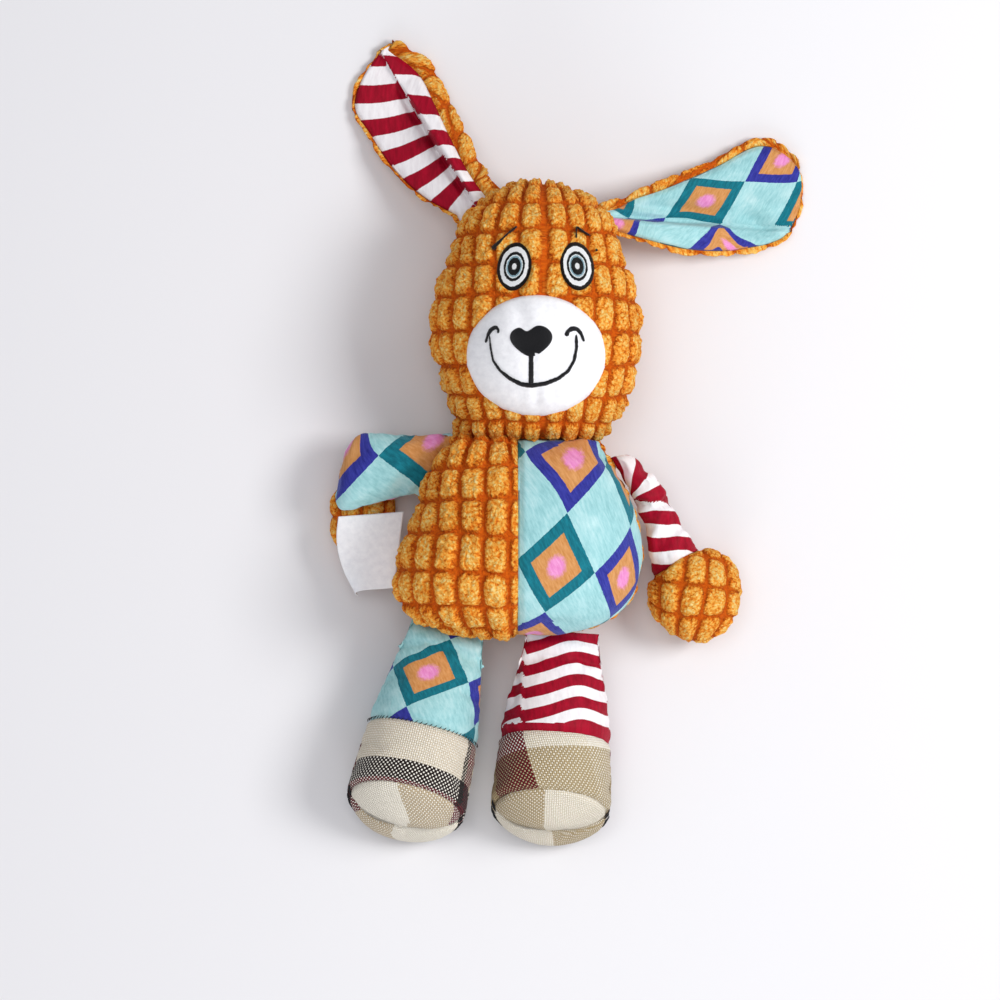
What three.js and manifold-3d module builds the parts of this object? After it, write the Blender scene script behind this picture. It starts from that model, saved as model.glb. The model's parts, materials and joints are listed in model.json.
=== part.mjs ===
// A plush chew toy lying on its back: a patchwork puppy with long ears, soft limbs and a squeaker.
// Millimetres, +Z up, head towards +Y. The origin is the middle of the flat patch that the back rests on.
// Left and right in the names are the toy's own: its left side is +X.

import * as THREE from 'three';
import { mergeVertices } from 'three/addons/utils/BufferGeometryUtils.js';
import Module from 'manifold-3d';

const wasm = await Module();
wasm.setup();

// Clearances and skins
const gap = 0.3; // between any two pieces that touch
const pileSkin = 2.2; // block corduroy
const printSkin = 1.4; // printed velour and striped velboa
const canvasSkin = 1.6; // plaid canvas of the feet
const edgeRadius = 1.6; // half the thickness of a sewn root edge
const restFlat = 0.5; // how deep the fabric is pressed flat where it rests
const overrun = 12; // how far a cutter reaches past what it cuts

// Body
const bodyHeight = 88;
const bodyLeftReach = 53.5; // from the front seam to the toy's left side
const bodyRightReach = 54.5;
const bodyBelly = 44; // from the side seam up to the top of the belly
const bodyBack = 31; // from the side seam down to the floor before it is pressed flat
const bodyDrop = 42; // from the origin down to the crotch
const frontSeamOffset = -1;
const bodyRoundShare = 0.3; // how much of its height the rounded bottom takes
const bodyRoundness = 2.4; // 2 is an ellipse, more is squarer
const bodySquareness = 2.3;

// Neck
const neckRange = 15; // degrees that the head nods each way
const neckSpare = 1; // degrees kept free past that

// Head
const headHeight = 112;
const headHalfWidth = 45.5;
const headBrow = 45; // from the side seam up to the face
const headBack = 31;
const headOffset = 7;
const headRoundShare = 0.25;
const headRoundness = 2;
const headSquareness = 2.1;

// Muzzle and the stitched face
const muzzleHalfWidth = 31;
const muzzleHeightShare = 0.241; // its half height, of the head's height
const muzzleBulge = 7; // how far its middle stands out of the head
const muzzleEdge = 1.8;
const muzzleDepth = 20; // half depth of the ball that shapes it
const muzzleRiseShare = 0.326; // above the neck seam, of the head's height
const noseHalfWidth = 9.5;
const noseHeight = 12;
const noseRise = 6.5;
const noseOffset = -2;
const threadHeight = 0.9; // how far stitched threads stand up
const mouthLine = 1.6; // width of a stitched line
const smileHalfWidth = 19;
const smileDrop = 21;
const smileRise = 8;
const smileCornerShares = [0.8, 0.85]; // how wide the smile is halfway up, right and left
const eyeHalfWidth = 7.6;
const eyeHeightShare = 0.098; // its half height, of the head's height
const eyeLean = 10; // degrees
const eyeSpacing = 28.5;
const eyeRiseShare = 0.679; // above the neck seam, of the head's height
const eyesOffset = 4.4;
const browLength = 14;
const browThickness = 1.5;
const browRiseShare = 0.116; // above the eyes' middles, of the head's height
const browSpacing = 37;
const browLean = 40; // degrees

// Ears
const earLength = 84;
const earHalfWidth = 21;
const earSkin = 2.4; // thickness of one ear panel at its middle
const earHem = 1; // the front panel is this much smaller on its plain side
const earRim = 6.5; // and this much smaller where the back panel folds round
const rightEarHeading = 116.3; // degrees from +X
const rightEarLateral = 2.2; // from the heading's line to the root's middle
const leftEarHeading = 14.5;
const leftEarLateral = 33.5;
const leftEarLength = 90;
const leftEarHalfWidth = 24.5;
const rightEarRoundShare = 0.3;
const leftEarRoundShare = 0.2;
const earSquareness = 2.6;
const earBedShare = 0.25; // how far over an ear's middle the front panel's bed lies, in skins
const earClearShare = 3; // how far the bed's cutter rises, in skins

// Arms
const armRise = 27; // height of the left shoulder over the floor
const leftArmHeading = -59.5;
const leftArmLength = 93;
const leftArmInner = 17;
const leftArmOuter = 23;
const leftHandDepth = 16.7;
const leftArmLateral = 3.5; // from the heading's line through the body's middle to the pivot
const leftArmStart = 8; // how far the shoulder's top lies above its pivot
const leftArmTopShare = 0.12; // how much of its length the rounded shoulder takes
const leftHandTipShare = 0.24;
const leftFillShares = [0.05, 0.97];
const cuffShare = 0.6; // where the sleeve meets the hand, along the arm
const rightArmHeading = 149.3;
const rightArmLateral = -9.2;
const rightArmLength = 37;
const rightArmReach = 16.7;
const rightArmDepth = 11;
const rightArmSag = 8;
const rightArmTipShare = 0.4;
const rightFillShare = 0.17; // where the sleeve's filling starts
const rightHandLength = 35;
const rightHandHalfWidth = 14.5;
const rightHandDepth = 9.4;
const rightHandRoundShares = [0.3, 0.35];
const rightHandOut = 32; // from the shoulder seam's middle to the hand's middle, towards the toy's right
const rightHandDown = 7; // from the shoulder seam's middle down to the top of the hand
const wristRadius = 5; // where the sleeve opens into the folded hand
const wristDown = 9; // from the top of the hand
const wristReach = 13; // from the middle of the hand up to the middle of the sleeve

// Care label, blank
const labelWidth = 29;
const labelLength = 35;
const labelThickness = 0.6;
const labelHeading = -97;
const labelLateral = -25; // from the shoulder seam's middle to its own middle
const labelDip = 2; // degrees that it slopes down towards its free end

// Legs
const legHalfWidth = 27;
const legDepth = 23;
const rightLegLength = 91;
const rightLegHeading = -103.5;
const rightLegLateral = -22.3;
const leftLegLength = 86;
const leftLegHeading = -93.9;
const leftLegLateral = 22;
const footShare = 0.53; // where the sleeve meets the foot, along the leg
const soleShare = 0.86; // where the foot meets the sole
const legTilt = 0.62; // how far the sole leans back for each unit of height
const legTiltPower = 1.5; // the lean comes in towards the sole
const legTipShare = 0.17;
const legFillShare = 0.13;

// Squeaker
const bulbRadius = 17;
const bulbHeight = 22;
const bulbWall = 1.3;
const bulbNeck = 6;
const bulbNeckHeight = 5;
const bulbOffset = 4;
const bulbLift = 26; // height of the bulb's lower face over the floor
const reedBore = 1.6;
const reedFlange = 1.2;
const bulbShoulder = 3.9; // height of the slope above its neck
const bulbBevel = 2.6; // at its far rim

// Faces round each form
const bodySides = 24;
const bodyRings = 12;
const limbSides = 18;
const limbRings = 8;
const insideSides = 12; // fewer inside the limbs
const insideBodySides = 16;
const earSides = 12;
const earRings = 10;
const bulbSides = 16;
const reedSides = 12;
const wristSides = 12;
const edgeSides = 8;
const muzzleSides = 20;
const muzzleRings = 12;
const curveSegments = 6;
const smileSteps = 14;
const soleRings = 4;
const seatSteps = 400; // how finely an outline is walked for the place of a seat
const weldShare = 0.001; // points this much of a gap apart are one point

// Ends of limbs and ears: 2 is an ellipse, more is squarer
const tipRoundness = 2.2;
const leftArmRoundness = 2;

// Rows of shares: along, left, right, front, back, drop.
// Left is towards -X and right towards +X in the form's own frame.
const bodyShares = [
  [0, 1, 0.93, 0.8, 0.92, 0],
  [0.25, 1, 0.95, 0.97, 1, 0],
  [0.4, 0.96, 1, 1, 1, 0],
  [0.6, 0.85, 0.95, 0.95, 1, 0],
  [0.8, 0.74, 0.82, 0.77, 0.92, 0],
  [0.92, 0.61, 0.72, 0.55, 0.74, 0],
  [1, 0.53, 0.65, 0.38, 0.55, 0],
];
const headShares = [
  [0, 0.78, 0.62, 0.37, 0.55, 0],
  [0.1, 0.82, 0.8, 0.66, 0.76, 0],
  [0.25, 0.9, 0.94, 0.93, 0.95, 0],
  [0.42, 1, 0.99, 1, 1, 0],
  [0.58, 0.95, 0.94, 0.98, 1, 0],
  [0.75, 0.78, 0.8, 0.9, 0.95, 0],
  [1, 0.68, 0.7, 0.8, 0.8, 0],
];
const legShares = [
  [0, 0.64, 0.64, 0.07, 0.07, 0],
  [0.12, 0.72, 0.72, 0.2, 0.2, 0.12],
  [0.28, 0.84, 0.84, 0.52, 0.56, 0.45],
  [0.45, 0.92, 0.92, 0.85, 0.87, 0.85],
  [0.6, 0.96, 0.96, 0.99, 0.99, 1],
  [0.8, 1, 1, 1, 1, 1],
  [1, 1, 1, 0.96, 1, 1],
];
const leftArmShares = [
  [0, 0, 0.5, 0.45, 0.45, 0],
  [0.13, 0, 0.51, 0.5, 0.5, 0.1],
  [0.2, 0.02, 0.6, 0.52, 0.52, 0.25],
  [0.36, 0.13, 0.6, 0.54, 0.54, 0.6],
  [0.5, 0.38, 0.6, 0.6, 0.6, 0.9],
  [0.6, 0.6, 0.66, 0.68, 0.68, 1],
  [0.7, 0.95, 0.95, 0.94, 0.94, 1],
  [0.84, 1, 1, 1, 1, 1],
  [1, 0.95, 0.95, 0.95, 0.95, 1],
];
const rightArmShares = [
  [0, 1, 1, 0.15, 0.15, 0],
  [0.15, 0.8, 1.3, 0.45, 0.5, 0.25],
  [0.35, 0.52, 1.75, 0.85, 0.85, 0.6],
  [0.6, 0.2, 2.25, 1, 1, 0.9],
  [0.8, 0.02, 2.35, 1, 1, 1],
  [1, -0.1, 1.9, 0.9, 0.9, 1],
];
const rightHandShares = [
  [0, 0.9, 0.85, 0.85, 0.9, 0],
  [0.4, 1, 1, 1, 1, 0],
  [1, 0.9, 0.9, 1, 1, 0],
];
const rightEarShares = [
  [0, 0.58, 0.54, 0.7, 0.7, 0],
  [0.17, 0.48, 1, 0.85, 0.85, 0.3],
  [0.4, 0.47, 1.33, 1, 1, 0.65],
  [0.62, 0.5, 1.43, 1, 1, 0.88],
  [0.8, 0.48, 1.5, 1, 1, 0.98],
  [1, 0.2, 1.2, 0.8, 0.8, 1],
];
const leftEarShares = [
  [0, 0.3, 0.26, 0.7, 0.7, 0],
  [0.13, 0.59, 0.32, 0.85, 0.85, 0.25],
  [0.35, 1, 0.44, 1, 1, 0.6],
  [0.6, 1.21, 0.6, 1, 1, 0.86],
  [0.8, 1.2, 0.78, 1, 1, 0.98],
  [1, 1, 0.7, 0.8, 0.8, 1],
];

// A smooth value of one column between the rows of a table of shares
function shareAt(rows, column, along) {
  const last = rows.length - 1;
  const place = THREE.MathUtils.clamp(along, 0, 1);
  let row = 0;
  while (row < last - 1 && rows[row + 1][0] < place) row += 1;
  const slope = (i) => {
    const before = rows[Math.max(i - 1, 0)];
    const after = rows[Math.min(i + 1, last)];
    return (after[column] - before[column]) / (after[0] - before[0]);
  };
  const span = rows[row + 1][0] - rows[row][0];
  const u = (place - rows[row][0]) / span;
  const a = rows[row][column];
  const b = rows[row + 1][column];
  const bend = u * u * (3 - 2 * u);
  const rise = u * (1 - u) * (1 - u) * span * slope(row);
  const fall = u * u * (1 - u) * span * slope(row + 1);
  return a + (b - a) * bend + rise - fall;
}

// How far a rounded end has swollen at a place along the form
function swell(form, along) {
  let share = 1;
  if (form.startRound && along < form.startRound) {
    share *= (1 - (1 - along / form.startRound) ** form.power) ** (1 / form.power);
  }
  if (form.endRound && along > 1 - form.endRound) {
    const u = Math.min((along - 1 + form.endRound) / form.endRound, 1);
    share *= (1 - u ** form.power) ** (1 / form.power);
  }
  return share;
}

// The four reaches of a form's section and the drop of its middle, at a place along it
function section(form, along) {
  const share = swell(form, along);
  const reach = (column, size) => shareAt(form.rows, column, along) * size * share;
  return {
    left: reach(1, form.left),
    right: reach(2, form.right),
    front: reach(3, form.front),
    back: reach(4, form.back),
    drop: shareAt(form.rows, 5, along) * form.drop,
  };
}

// Where the rings of a form lie: closer together at its rounded ends
function ringPlaces(form, from, to) {
  const places = [];
  for (let i = 0; i <= form.rings; i += 1) {
    const u = i / form.rings;
    const even = from + (to - from) * u;
    const eased = from + (to - from) * (1 - Math.cos(Math.PI * u)) / 2;
    const quarter = Math.PI * u / 2;
    const half = from + (to - from) * (form.startRound ? 1 - Math.cos(quarter) : Math.sin(quarter));
    if (form.startRound && form.endRound) places.push(eased);
    else places.push(form.startRound || form.endRound ? half : even);
  }
  return places;
}

// One ring of points round a form; grow moves it out of the surface, or in when it is negative
function ringPoints(form, along, grow) {
  const cut = section(form, along);
  const middle = (cut.right - cut.left) / 2;
  const halfWidth = Math.max((cut.left + cut.right) / 2 + grow, gap);
  const front = Math.max(cut.front + grow, gap);
  const back = Math.max(cut.back + grow, gap);
  const points = [];
  for (let i = 0; i < form.sides; i += 1) {
    const turn = 2 * Math.PI * (i + 0.5) / form.sides;
    const c = Math.cos(turn);
    const s = Math.sin(turn);
    const bulge = 2 / (form.squareness ?? 2);
    const x = middle + Math.sign(c) * Math.abs(c) ** bulge * halfWidth;
    const z = Math.sign(s) * Math.abs(s) ** bulge * (s > 0 ? front : back);
    const lean = (form.tilt ?? 0) * along ** legTiltPower * z;
    const y = (form.start ?? 0) + form.direction * along * form.length + lean;
    points.push(new THREE.Vector3(x, y, z - cut.drop));
  }
  return points;
}

// A closed body through the rings of a form between two places along it; push moves its ends out
function formGeometry(form, { from = 0, to = 1, grow = 0, push = Math.max(grow, 0) } = {}) {
  const places = ringPlaces(form, from, to);
  const rings = places.map((along) => ringPoints(form, along, grow));
  const ends = [0, rings.length - 1].map((i) => {
    const middle = new THREE.Vector3();
    rings[i].forEach((point) => middle.add(point));
    return middle.divideScalar(form.sides);
  });
  const pushed = push * form.direction;
  const points = rings.flat();
  if (pushed) {
    rings[0].forEach((point) => { point.y -= pushed; });
    rings.at(-1).forEach((point) => { point.y += pushed; });
    ends[0].y -= pushed;
    ends[1].y += pushed;
  }
  points.push(...ends);
  const corners = [];
  const add = (a, b, c) => corners.push(...(form.direction > 0 ? [a, c, b] : [a, b, c]));
  for (let r = 0; r < rings.length - 1; r += 1) {
    for (let i = 0; i < form.sides; i += 1) {
      const j = (i + 1) % form.sides;
      const low = r * form.sides;
      const high = low + form.sides;
      add(low + i, low + j, high + j);
      add(low + i, high + j, high + i);
    }
  }
  const top = (rings.length - 1) * form.sides;
  for (let i = 0; i < form.sides; i += 1) {
    const j = (i + 1) % form.sides;
    add(points.length - 2, j, i);
    add(points.length - 1, top + i, top + j);
  }
  const geometry = new THREE.BufferGeometry().setFromPoints(points);
  geometry.setIndex(corners);
  return geometry;
}

// A closed geometry as a solid that can be joined and cut
function solid(geometry) {
  const bare = geometry.clone();
  bare.deleteAttribute('normal');
  bare.deleteAttribute('uv');
  const merged = mergeVertices(bare, gap * weldShare);
  return new wasm.Manifold(new wasm.Mesh({
    numProp: 3,
    vertProperties: new Float32Array(merged.attributes.position.array),
    triVerts: new Uint32Array(merged.index.array),
  }));
}

const formSolid = (form, options) => solid(formGeometry(form, options));

// A named mesh made of a solid
function piece(name, shape, material) {
  const mesh = shape.getMesh();
  const geometry = new THREE.BufferGeometry();
  geometry.setAttribute('position', new THREE.BufferAttribute(new Float32Array(mesh.vertProperties), 3));
  geometry.setIndex(new THREE.BufferAttribute(new Uint32Array(mesh.triVerts), 1));
  geometry.computeVertexNormals();
  const made = new THREE.Mesh(geometry, material);
  made.name = name;
  return made;
}

// A box between two corners
function block(low, high) {
  const size = new THREE.Vector3().subVectors(high, low);
  const middle = new THREE.Vector3().addVectors(low, high).divideScalar(2);
  return solid(new THREE.BoxGeometry(size.x, size.y, size.z).translate(middle.x, middle.y, middle.z));
}

// An outline drawn in X and Y, pushed up through a height
function prism(shape, low, high) {
  const depth = high - low;
  const geometry = new THREE.ExtrudeGeometry(shape, { depth, bevelEnabled: false, curveSegments });
  return solid(geometry.translate(0, 0, low));
}

// Finishes
function fabric(colour, roughness = 0.95) {
  return new THREE.MeshStandardMaterial({ color: colour, roughness, metalness: 0 });
}
const corduroy = () => fabric(0xd98a2b);
const print = () => fabric(0x8fc5c5, 0.8);
const stripe = () => fabric(0xb02347, 0.8);
const plaid = () => fabric(0xd8ccb4);
const fibre = () => fabric(0xf2efe6);
const velour = () => fabric(0xf7f7f5);
const thread = () => fabric(0x18181a, 0.6);
const satin = () => fabric(0xf6f6f8, 0.5);
const plastic = (colour) => new THREE.MeshStandardMaterial({ color: colour, roughness: 0.4, metalness: 0 });

// The large forms, each in its own frame
const seamHeight = bodyBack - restFlat;
const neckHeight = bodyHeight - bodyDrop;
const bodyForm = {
  rows: bodyShares, length: bodyHeight, direction: 1, drop: 0,
  left: bodyRightReach, right: bodyLeftReach, front: bodyBelly, back: bodyBack,
  startRound: bodyRoundShare, power: bodyRoundness, squareness: bodySquareness,
  sides: bodySides, rings: bodyRings,
};
const headForm = {
  rows: headShares, length: headHeight, direction: 1, drop: 0,
  left: headHalfWidth, right: headHalfWidth, front: headBrow, back: headBack,
  endRound: headRoundShare, power: headRoundness, squareness: headSquareness,
  sides: bodySides, rings: bodyRings,
};

const bodyLow = new THREE.Vector3(-bodyRightReach - overrun, -bodyDrop - overrun, -overrun);
const bodyTop = seamHeight + bodyBelly + overrun;
const bodyHigh = new THREE.Vector3(bodyLeftReach + overrun, neckHeight + overrun, bodyTop);
const headLow = new THREE.Vector3(-headHalfWidth - overrun, -overrun, -seamHeight - overrun);
const headHigh = new THREE.Vector3(headHalfWidth + overrun, headHeight + overrun, headBrow + overrun);

// The body's form where it lies on the floor
function bodySolid(form, options) {
  return formSolid(form, options).translate([0, -bodyDrop, seamHeight]);
}

// Everything past the sloping faces that let the head nod, on the side asked for
function neckCutter(side, spare) {
  const slope = Math.tan(THREE.MathUtils.degToRad((neckRange + neckSpare) / 2));
  const reach = headBrow + overrun;
  const start = side * (gap / 2 + spare);
  const wedge = new THREE.Shape([
    new THREE.Vector2(start, 0),
    new THREE.Vector2(start + side * slope * reach, reach),
    new THREE.Vector2(-side * reach, reach),
    new THREE.Vector2(-side * reach, -reach),
    new THREE.Vector2(start + side * slope * reach, -reach),
  ]);
  const width = bodyLeftReach + bodyRightReach;
  const geometry = new THREE.ExtrudeGeometry(wedge, { depth: width, bevelEnabled: false });
  geometry.rotateY(Math.PI / 2).rotateX(Math.PI / 2).translate(-width / 2, 0, 0);
  return solid(geometry);
}

// How far out a form's outline reaches along a heading, within a strip beside it, and where along the form
function findSeat(form, heading, lateral, halfStrip) {
  const out = new THREE.Vector2(Math.cos(heading), Math.sin(heading));
  const across = new THREE.Vector2(-out.y, out.x);
  const seat = { far: 0, along: 0 };
  for (let i = 0; i <= seatSteps; i += 1) {
    const cut = section(form, i / seatSteps);
    [-cut.left, cut.right].forEach((x) => {
      const point = new THREE.Vector2(x, form.direction * form.length * i / seatSteps - form.middle);
      const aside = point.dot(across) - lateral;
      if (Math.abs(aside) > halfStrip || point.dot(out) <= seat.far) return;
      seat.far = point.dot(out);
      seat.along = i / seatSteps;
    });
  }
  return seat;
}

// A group whose -Y points along a heading, standing on a form's side seam
function limbGroup(form, degrees, lateral, halfStrip, stand = gap + edgeRadius) {
  const heading = THREE.MathUtils.degToRad(degrees);
  const distance = findSeat(form, heading, lateral, halfStrip).far + stand;
  const group = new THREE.Group();
  const x = Math.cos(heading) * distance - Math.sin(heading) * lateral;
  const y = Math.sin(heading) * distance + Math.cos(heading) * lateral;
  group.position.set(x, y + form.rise, form.seam);
  group.rotation.z = heading + Math.PI / 2;
  return group;
}

// The middle that headings are taken from, and where it is in the group that carries the form
Object.assign(bodyForm, { middle: bodyDrop, rise: 0, seam: seamHeight });
Object.assign(headForm, { middle: headHeight / 2, rise: headHeight / 2, seam: 0 });

// Body skins, filling and squeaker
function buildBody() {
  const group = new THREE.Group();
  const floor = block(bodyLow, new THREE.Vector3(bodyHigh.x, bodyHigh.y, 0));
  const neck = neckCutter(-1, 0).translate([0, neckHeight, seamHeight]);
  const inside = { ...bodyForm, sides: insideBodySides };
  const outer = bodySolid(bodyForm).subtract(floor).subtract(neck);
  const hollow = (skin) => bodySolid(inside, { from: skin / bodyHeight, grow: -skin })
    .subtract(block(bodyLow, new THREE.Vector3(bodyHigh.x, bodyHigh.y, skin)))
    .add(neckHole(skin));
  const behind = block(bodyLow, new THREE.Vector3(bodyHigh.x, bodyHigh.y, seamHeight));
  const ahead = block(new THREE.Vector3(bodyLow.x, bodyLow.y, seamHeight + gap), bodyHigh);
  const corner = new THREE.Vector3(frontSeamOffset - gap / 2, bodyHigh.y, bodyHigh.z);
  const rightHalf = block(bodyLow, corner);
  const leftHalf = block(new THREE.Vector3(frontSeamOffset + gap / 2, bodyLow.y, bodyLow.z), bodyHigh);
  const pileShell = outer.subtract(hollow(pileSkin));
  const printShell = outer.subtract(hollow(printSkin));
  group.add(piece('front_corduroy_panel', pileShell.intersect(ahead).intersect(rightHalf), corduroy()));
  group.add(piece('front_print_panel', printShell.intersect(ahead).intersect(leftHalf), print()));
  group.add(piece('back_panel', pileShell.intersect(behind), corduroy()));

  const inset = pileSkin + gap;
  const pocketTop = bulbLift + bulbHeight + bulbNeckHeight + gap;
  const pocket = solid(new THREE.CylinderGeometry(bulbRadius + gap, bulbRadius + gap, pocketTop, bulbSides)
    .rotateX(Math.PI / 2).translate(bulbOffset, 0, pocketTop / 2));
  const filling = bodySolid(inside, { from: inset / bodyHeight, grow: -inset })
    .subtract(block(bodyLow, new THREE.Vector3(bodyHigh.x, bodyHigh.y, inset)))
    .subtract(neck)
    .subtract(pocket);
  group.add(piece('body_filling', filling, fibre()));
  group.add(...buildSqueaker());
  return group;
}

// The hole in the skins where body and head open into each other
function neckHole(skin) {
  const cut = section(bodyForm, 1);
  const radius = new THREE.Vector2((cut.left + cut.right) / 2 - skin, Math.min(cut.front, cut.back) - skin);
  return solid(new THREE.CylinderGeometry(1, 1, 2 * overrun, bodySides)
    .scale(radius.x, 1, radius.y)
    .translate((cut.right - cut.left) / 2, neckHeight, seamHeight));
}

// A hollow bulb with the reed plug in its neck
function buildSqueaker() {
  const neckOuter = bulbNeck + bulbWall;
  const far = bulbHeight + bulbNeckHeight;
  const profile = [
    [bulbNeck, 0], [neckOuter, 0], [neckOuter, bulbNeckHeight],
    [bulbRadius, bulbNeckHeight + bulbShoulder], [bulbRadius, bulbHeight - bulbBevel],
    [bulbRadius - bulbBevel, far], [0, far],
    [0, far - bulbWall], [bulbRadius - bulbBevel - bulbWall, far - bulbWall],
    [bulbRadius - bulbWall, bulbHeight - bulbBevel],
    [bulbRadius - bulbWall, bulbNeckHeight + bulbShoulder + bulbWall],
    [bulbNeck, bulbNeckHeight + bulbWall],
  ];
  const bulb = revolve(profile, bulbSides).translate([bulbOffset, 0, bulbLift]);
  const plug = bulbNeck - gap;
  const reedProfile = [
    [reedBore, -reedFlange], [neckOuter, -reedFlange], [neckOuter, -gap], [plug, -gap],
    [plug, bulbNeckHeight], [reedBore, bulbNeckHeight],
  ];
  const reed = revolve(reedProfile, reedSides).translate([bulbOffset, 0, bulbLift]);
  return [
    piece('squeaker_bulb', bulb, plastic(0xf4f4ee)),
    piece('squeaker_reed', reed, plastic(0x3b7fc4)),
  ];
}

// A profile of radius and height turned round Z
function revolve(profile, sides) {
  const points = [...profile, profile[0]].map(([radius, height]) => new THREE.Vector2(radius, height));
  return solid(new THREE.LatheGeometry(points, sides).rotateX(Math.PI / 2));
}

// The face's heights follow the head's
const muzzleRise = headHeight * muzzleRiseShare;
const muzzleHigh = headHeight * muzzleHeightShare;
const eyeRise = headHeight * eyeRiseShare;
const eyeHigh = headHeight * eyeHeightShare;
const browRise = headHeight * browRiseShare;

// Head skins, filling, muzzle and the stitched face, in a group that stands on the neck seam
function buildHead() {
  const group = new THREE.Group();
  group.position.set(headOffset, neckHeight, seamHeight);
  const neck = neckCutter(1, 0);
  const floorTop = new THREE.Vector3(headHigh.x, headHigh.y, -seamHeight);
  const outer = formSolid(headForm).subtract(block(headLow, floorTop)).subtract(neck);
  const insideForm = { ...headForm, sides: insideBodySides };
  const inside = (skin) => formSolid(insideForm, { to: 1 - skin / headHeight, grow: -skin })
    .subtract(block(headLow, new THREE.Vector3(headHigh.x, headHigh.y, skin - seamHeight)));
  const cut = section(headForm, 0);
  const mouth = solid(new THREE.CylinderGeometry(1, 1, 2 * overrun, bodySides)
    .scale((cut.left + cut.right) / 2 - pileSkin, 1, Math.min(cut.front, cut.back) - pileSkin)
    .translate((cut.right - cut.left) / 2, 0, 0));
  const shell = outer.subtract(inside(pileSkin).add(mouth));
  const behind = block(headLow, new THREE.Vector3(headHigh.x, headHigh.y, 0));
  const ahead = block(new THREE.Vector3(headLow.x, headLow.y, gap), headHigh);
  group.add(piece('head_front_panel', shell.intersect(ahead), corduroy()));
  group.add(piece('head_back_panel', shell.intersect(behind), corduroy()));
  group.add(piece('head_filling', inside(pileSkin + gap).subtract(neck), fibre()));
  group.add(...buildFace());
  return group;
}

// The swelling that the muzzle has, with what lies under it
function muzzleDome(grow) {
  const ball = new THREE.SphereGeometry(1, muzzleSides, muzzleRings)
    .scale(muzzleHalfWidth + grow, muzzleHigh + grow, muzzleDepth + grow)
    .translate(0, muzzleRise, headBrow + muzzleBulge - muzzleDepth);
  return formSolid(headForm, { grow: muzzleEdge + grow }).add(solid(ball));
}

// An outline stitched onto a surface: between two growths of it
function stitched(shape, surface) {
  const column = prism(shape, 0, headBrow + muzzleBulge + overrun);
  return column.intersect(surface(gap + threadHeight)).subtract(surface(gap));
}

function ellipse(x, y, halfWidth, halfHeight, turn = 0) {
  const shape = new THREE.Shape();
  shape.absellipse(x, y, halfWidth, halfHeight, 0, 2 * Math.PI, false, turn);
  return shape;
}

// A line of one width along a curve in X and Y
function ribbon(curve, width, steps) {
  const left = [];
  const right = [];
  for (let i = 0; i <= steps; i += 1) {
    const point = curve.getPointAt(i / steps);
    const way = curve.getTangentAt(i / steps);
    const aside = new THREE.Vector2(-way.y, way.x).multiplyScalar(width / 2);
    left.push(point.clone().add(aside));
    right.unshift(point.clone().sub(aside));
  }
  return new THREE.Shape([...left, ...right]);
}

function buildFace() {
  const headSurface = (grow) => formSolid(headForm, { grow });
  const outline = ellipse(0, muzzleRise, muzzleHalfWidth, muzzleHigh);
  const patch = prism(outline, 0, headBrow + muzzleBulge + overrun);
  const muzzle = patch.intersect(muzzleDome(0)).subtract(headSurface(gap));
  const pieces = [piece('muzzle_patch', muzzle, velour())];

  const noseTop = muzzleRise + noseRise + noseHeight / 2;
  const nose = new THREE.Shape();
  nose.moveTo(noseOffset, noseTop - noseHeight);
  nose.bezierCurveTo(
    noseOffset + noseHalfWidth / 2, noseTop - noseHeight,
    noseOffset + noseHalfWidth, noseTop - noseHeight / 2,
    noseOffset + noseHalfWidth, noseTop - noseHeight / 4,
  );
  nose.bezierCurveTo(
    noseOffset + noseHalfWidth, noseTop + noseHeight / 8,
    noseOffset + noseHalfWidth / 4, noseTop,
    noseOffset, noseTop - noseHeight / 8,
  );
  nose.bezierCurveTo(
    noseOffset - noseHalfWidth / 4, noseTop,
    noseOffset - noseHalfWidth, noseTop + noseHeight / 8,
    noseOffset - noseHalfWidth, noseTop - noseHeight / 4,
  );
  nose.bezierCurveTo(
    noseOffset - noseHalfWidth, noseTop - noseHeight / 2,
    noseOffset - noseHalfWidth / 2, noseTop - noseHeight,
    noseOffset, noseTop - noseHeight,
  );
  pieces.push(piece('nose', stitched(nose, muzzleDome), thread()));

  const smileTop = muzzleRise + smileRise;
  const smileBottom = smileTop - smileDrop;
  const smileMiddle = (smileTop + smileBottom) / 2 - mouthLine;
  const [smileRight, smileLeft] = smileCornerShares.map((share) => smileHalfWidth * share);
  const smile = new THREE.SplineCurve([
    new THREE.Vector2(noseOffset - smileHalfWidth, smileTop),
    new THREE.Vector2(noseOffset - smileRight, smileMiddle),
    new THREE.Vector2(noseOffset, smileBottom),
    new THREE.Vector2(noseOffset + smileLeft, smileMiddle),
    new THREE.Vector2(noseOffset + smileHalfWidth, smileTop),
  ]);
  const groove = new THREE.LineCurve(
    new THREE.Vector2(noseOffset, smileBottom),
    new THREE.Vector2(noseOffset, noseTop - noseHeight - gap),
  );
  const mouth = stitched(ribbon(smile, mouthLine, smileSteps), muzzleDome)
    .add(stitched(ribbon(groove, mouthLine, 1), muzzleDome));
  pieces.push(piece('mouth_stitching', mouth, thread()));

  [[-1, 'right'], [1, 'left']].forEach(([side, name]) => {
    const x = eyesOffset + side * eyeSpacing / 2;
    const lean = THREE.MathUtils.degToRad(side * eyeLean);
    const eye = ellipse(x, eyeRise, eyeHalfWidth, eyeHigh, lean);
    pieces.push(piece(`${name}_eye_patch`, stitched(eye, headSurface), velour()));
    const tilt = THREE.MathUtils.degToRad(side * -browLean);
    const browX = eyesOffset + side * browSpacing / 2;
    const brow = ellipse(browX, eyeRise + browRise, browLength / 2, browThickness / 2, tilt);
    pieces.push(piece(`${name}_brow_stitching`, stitched(brow, headSurface), thread()));
  });
  return pieces;
}

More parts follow.
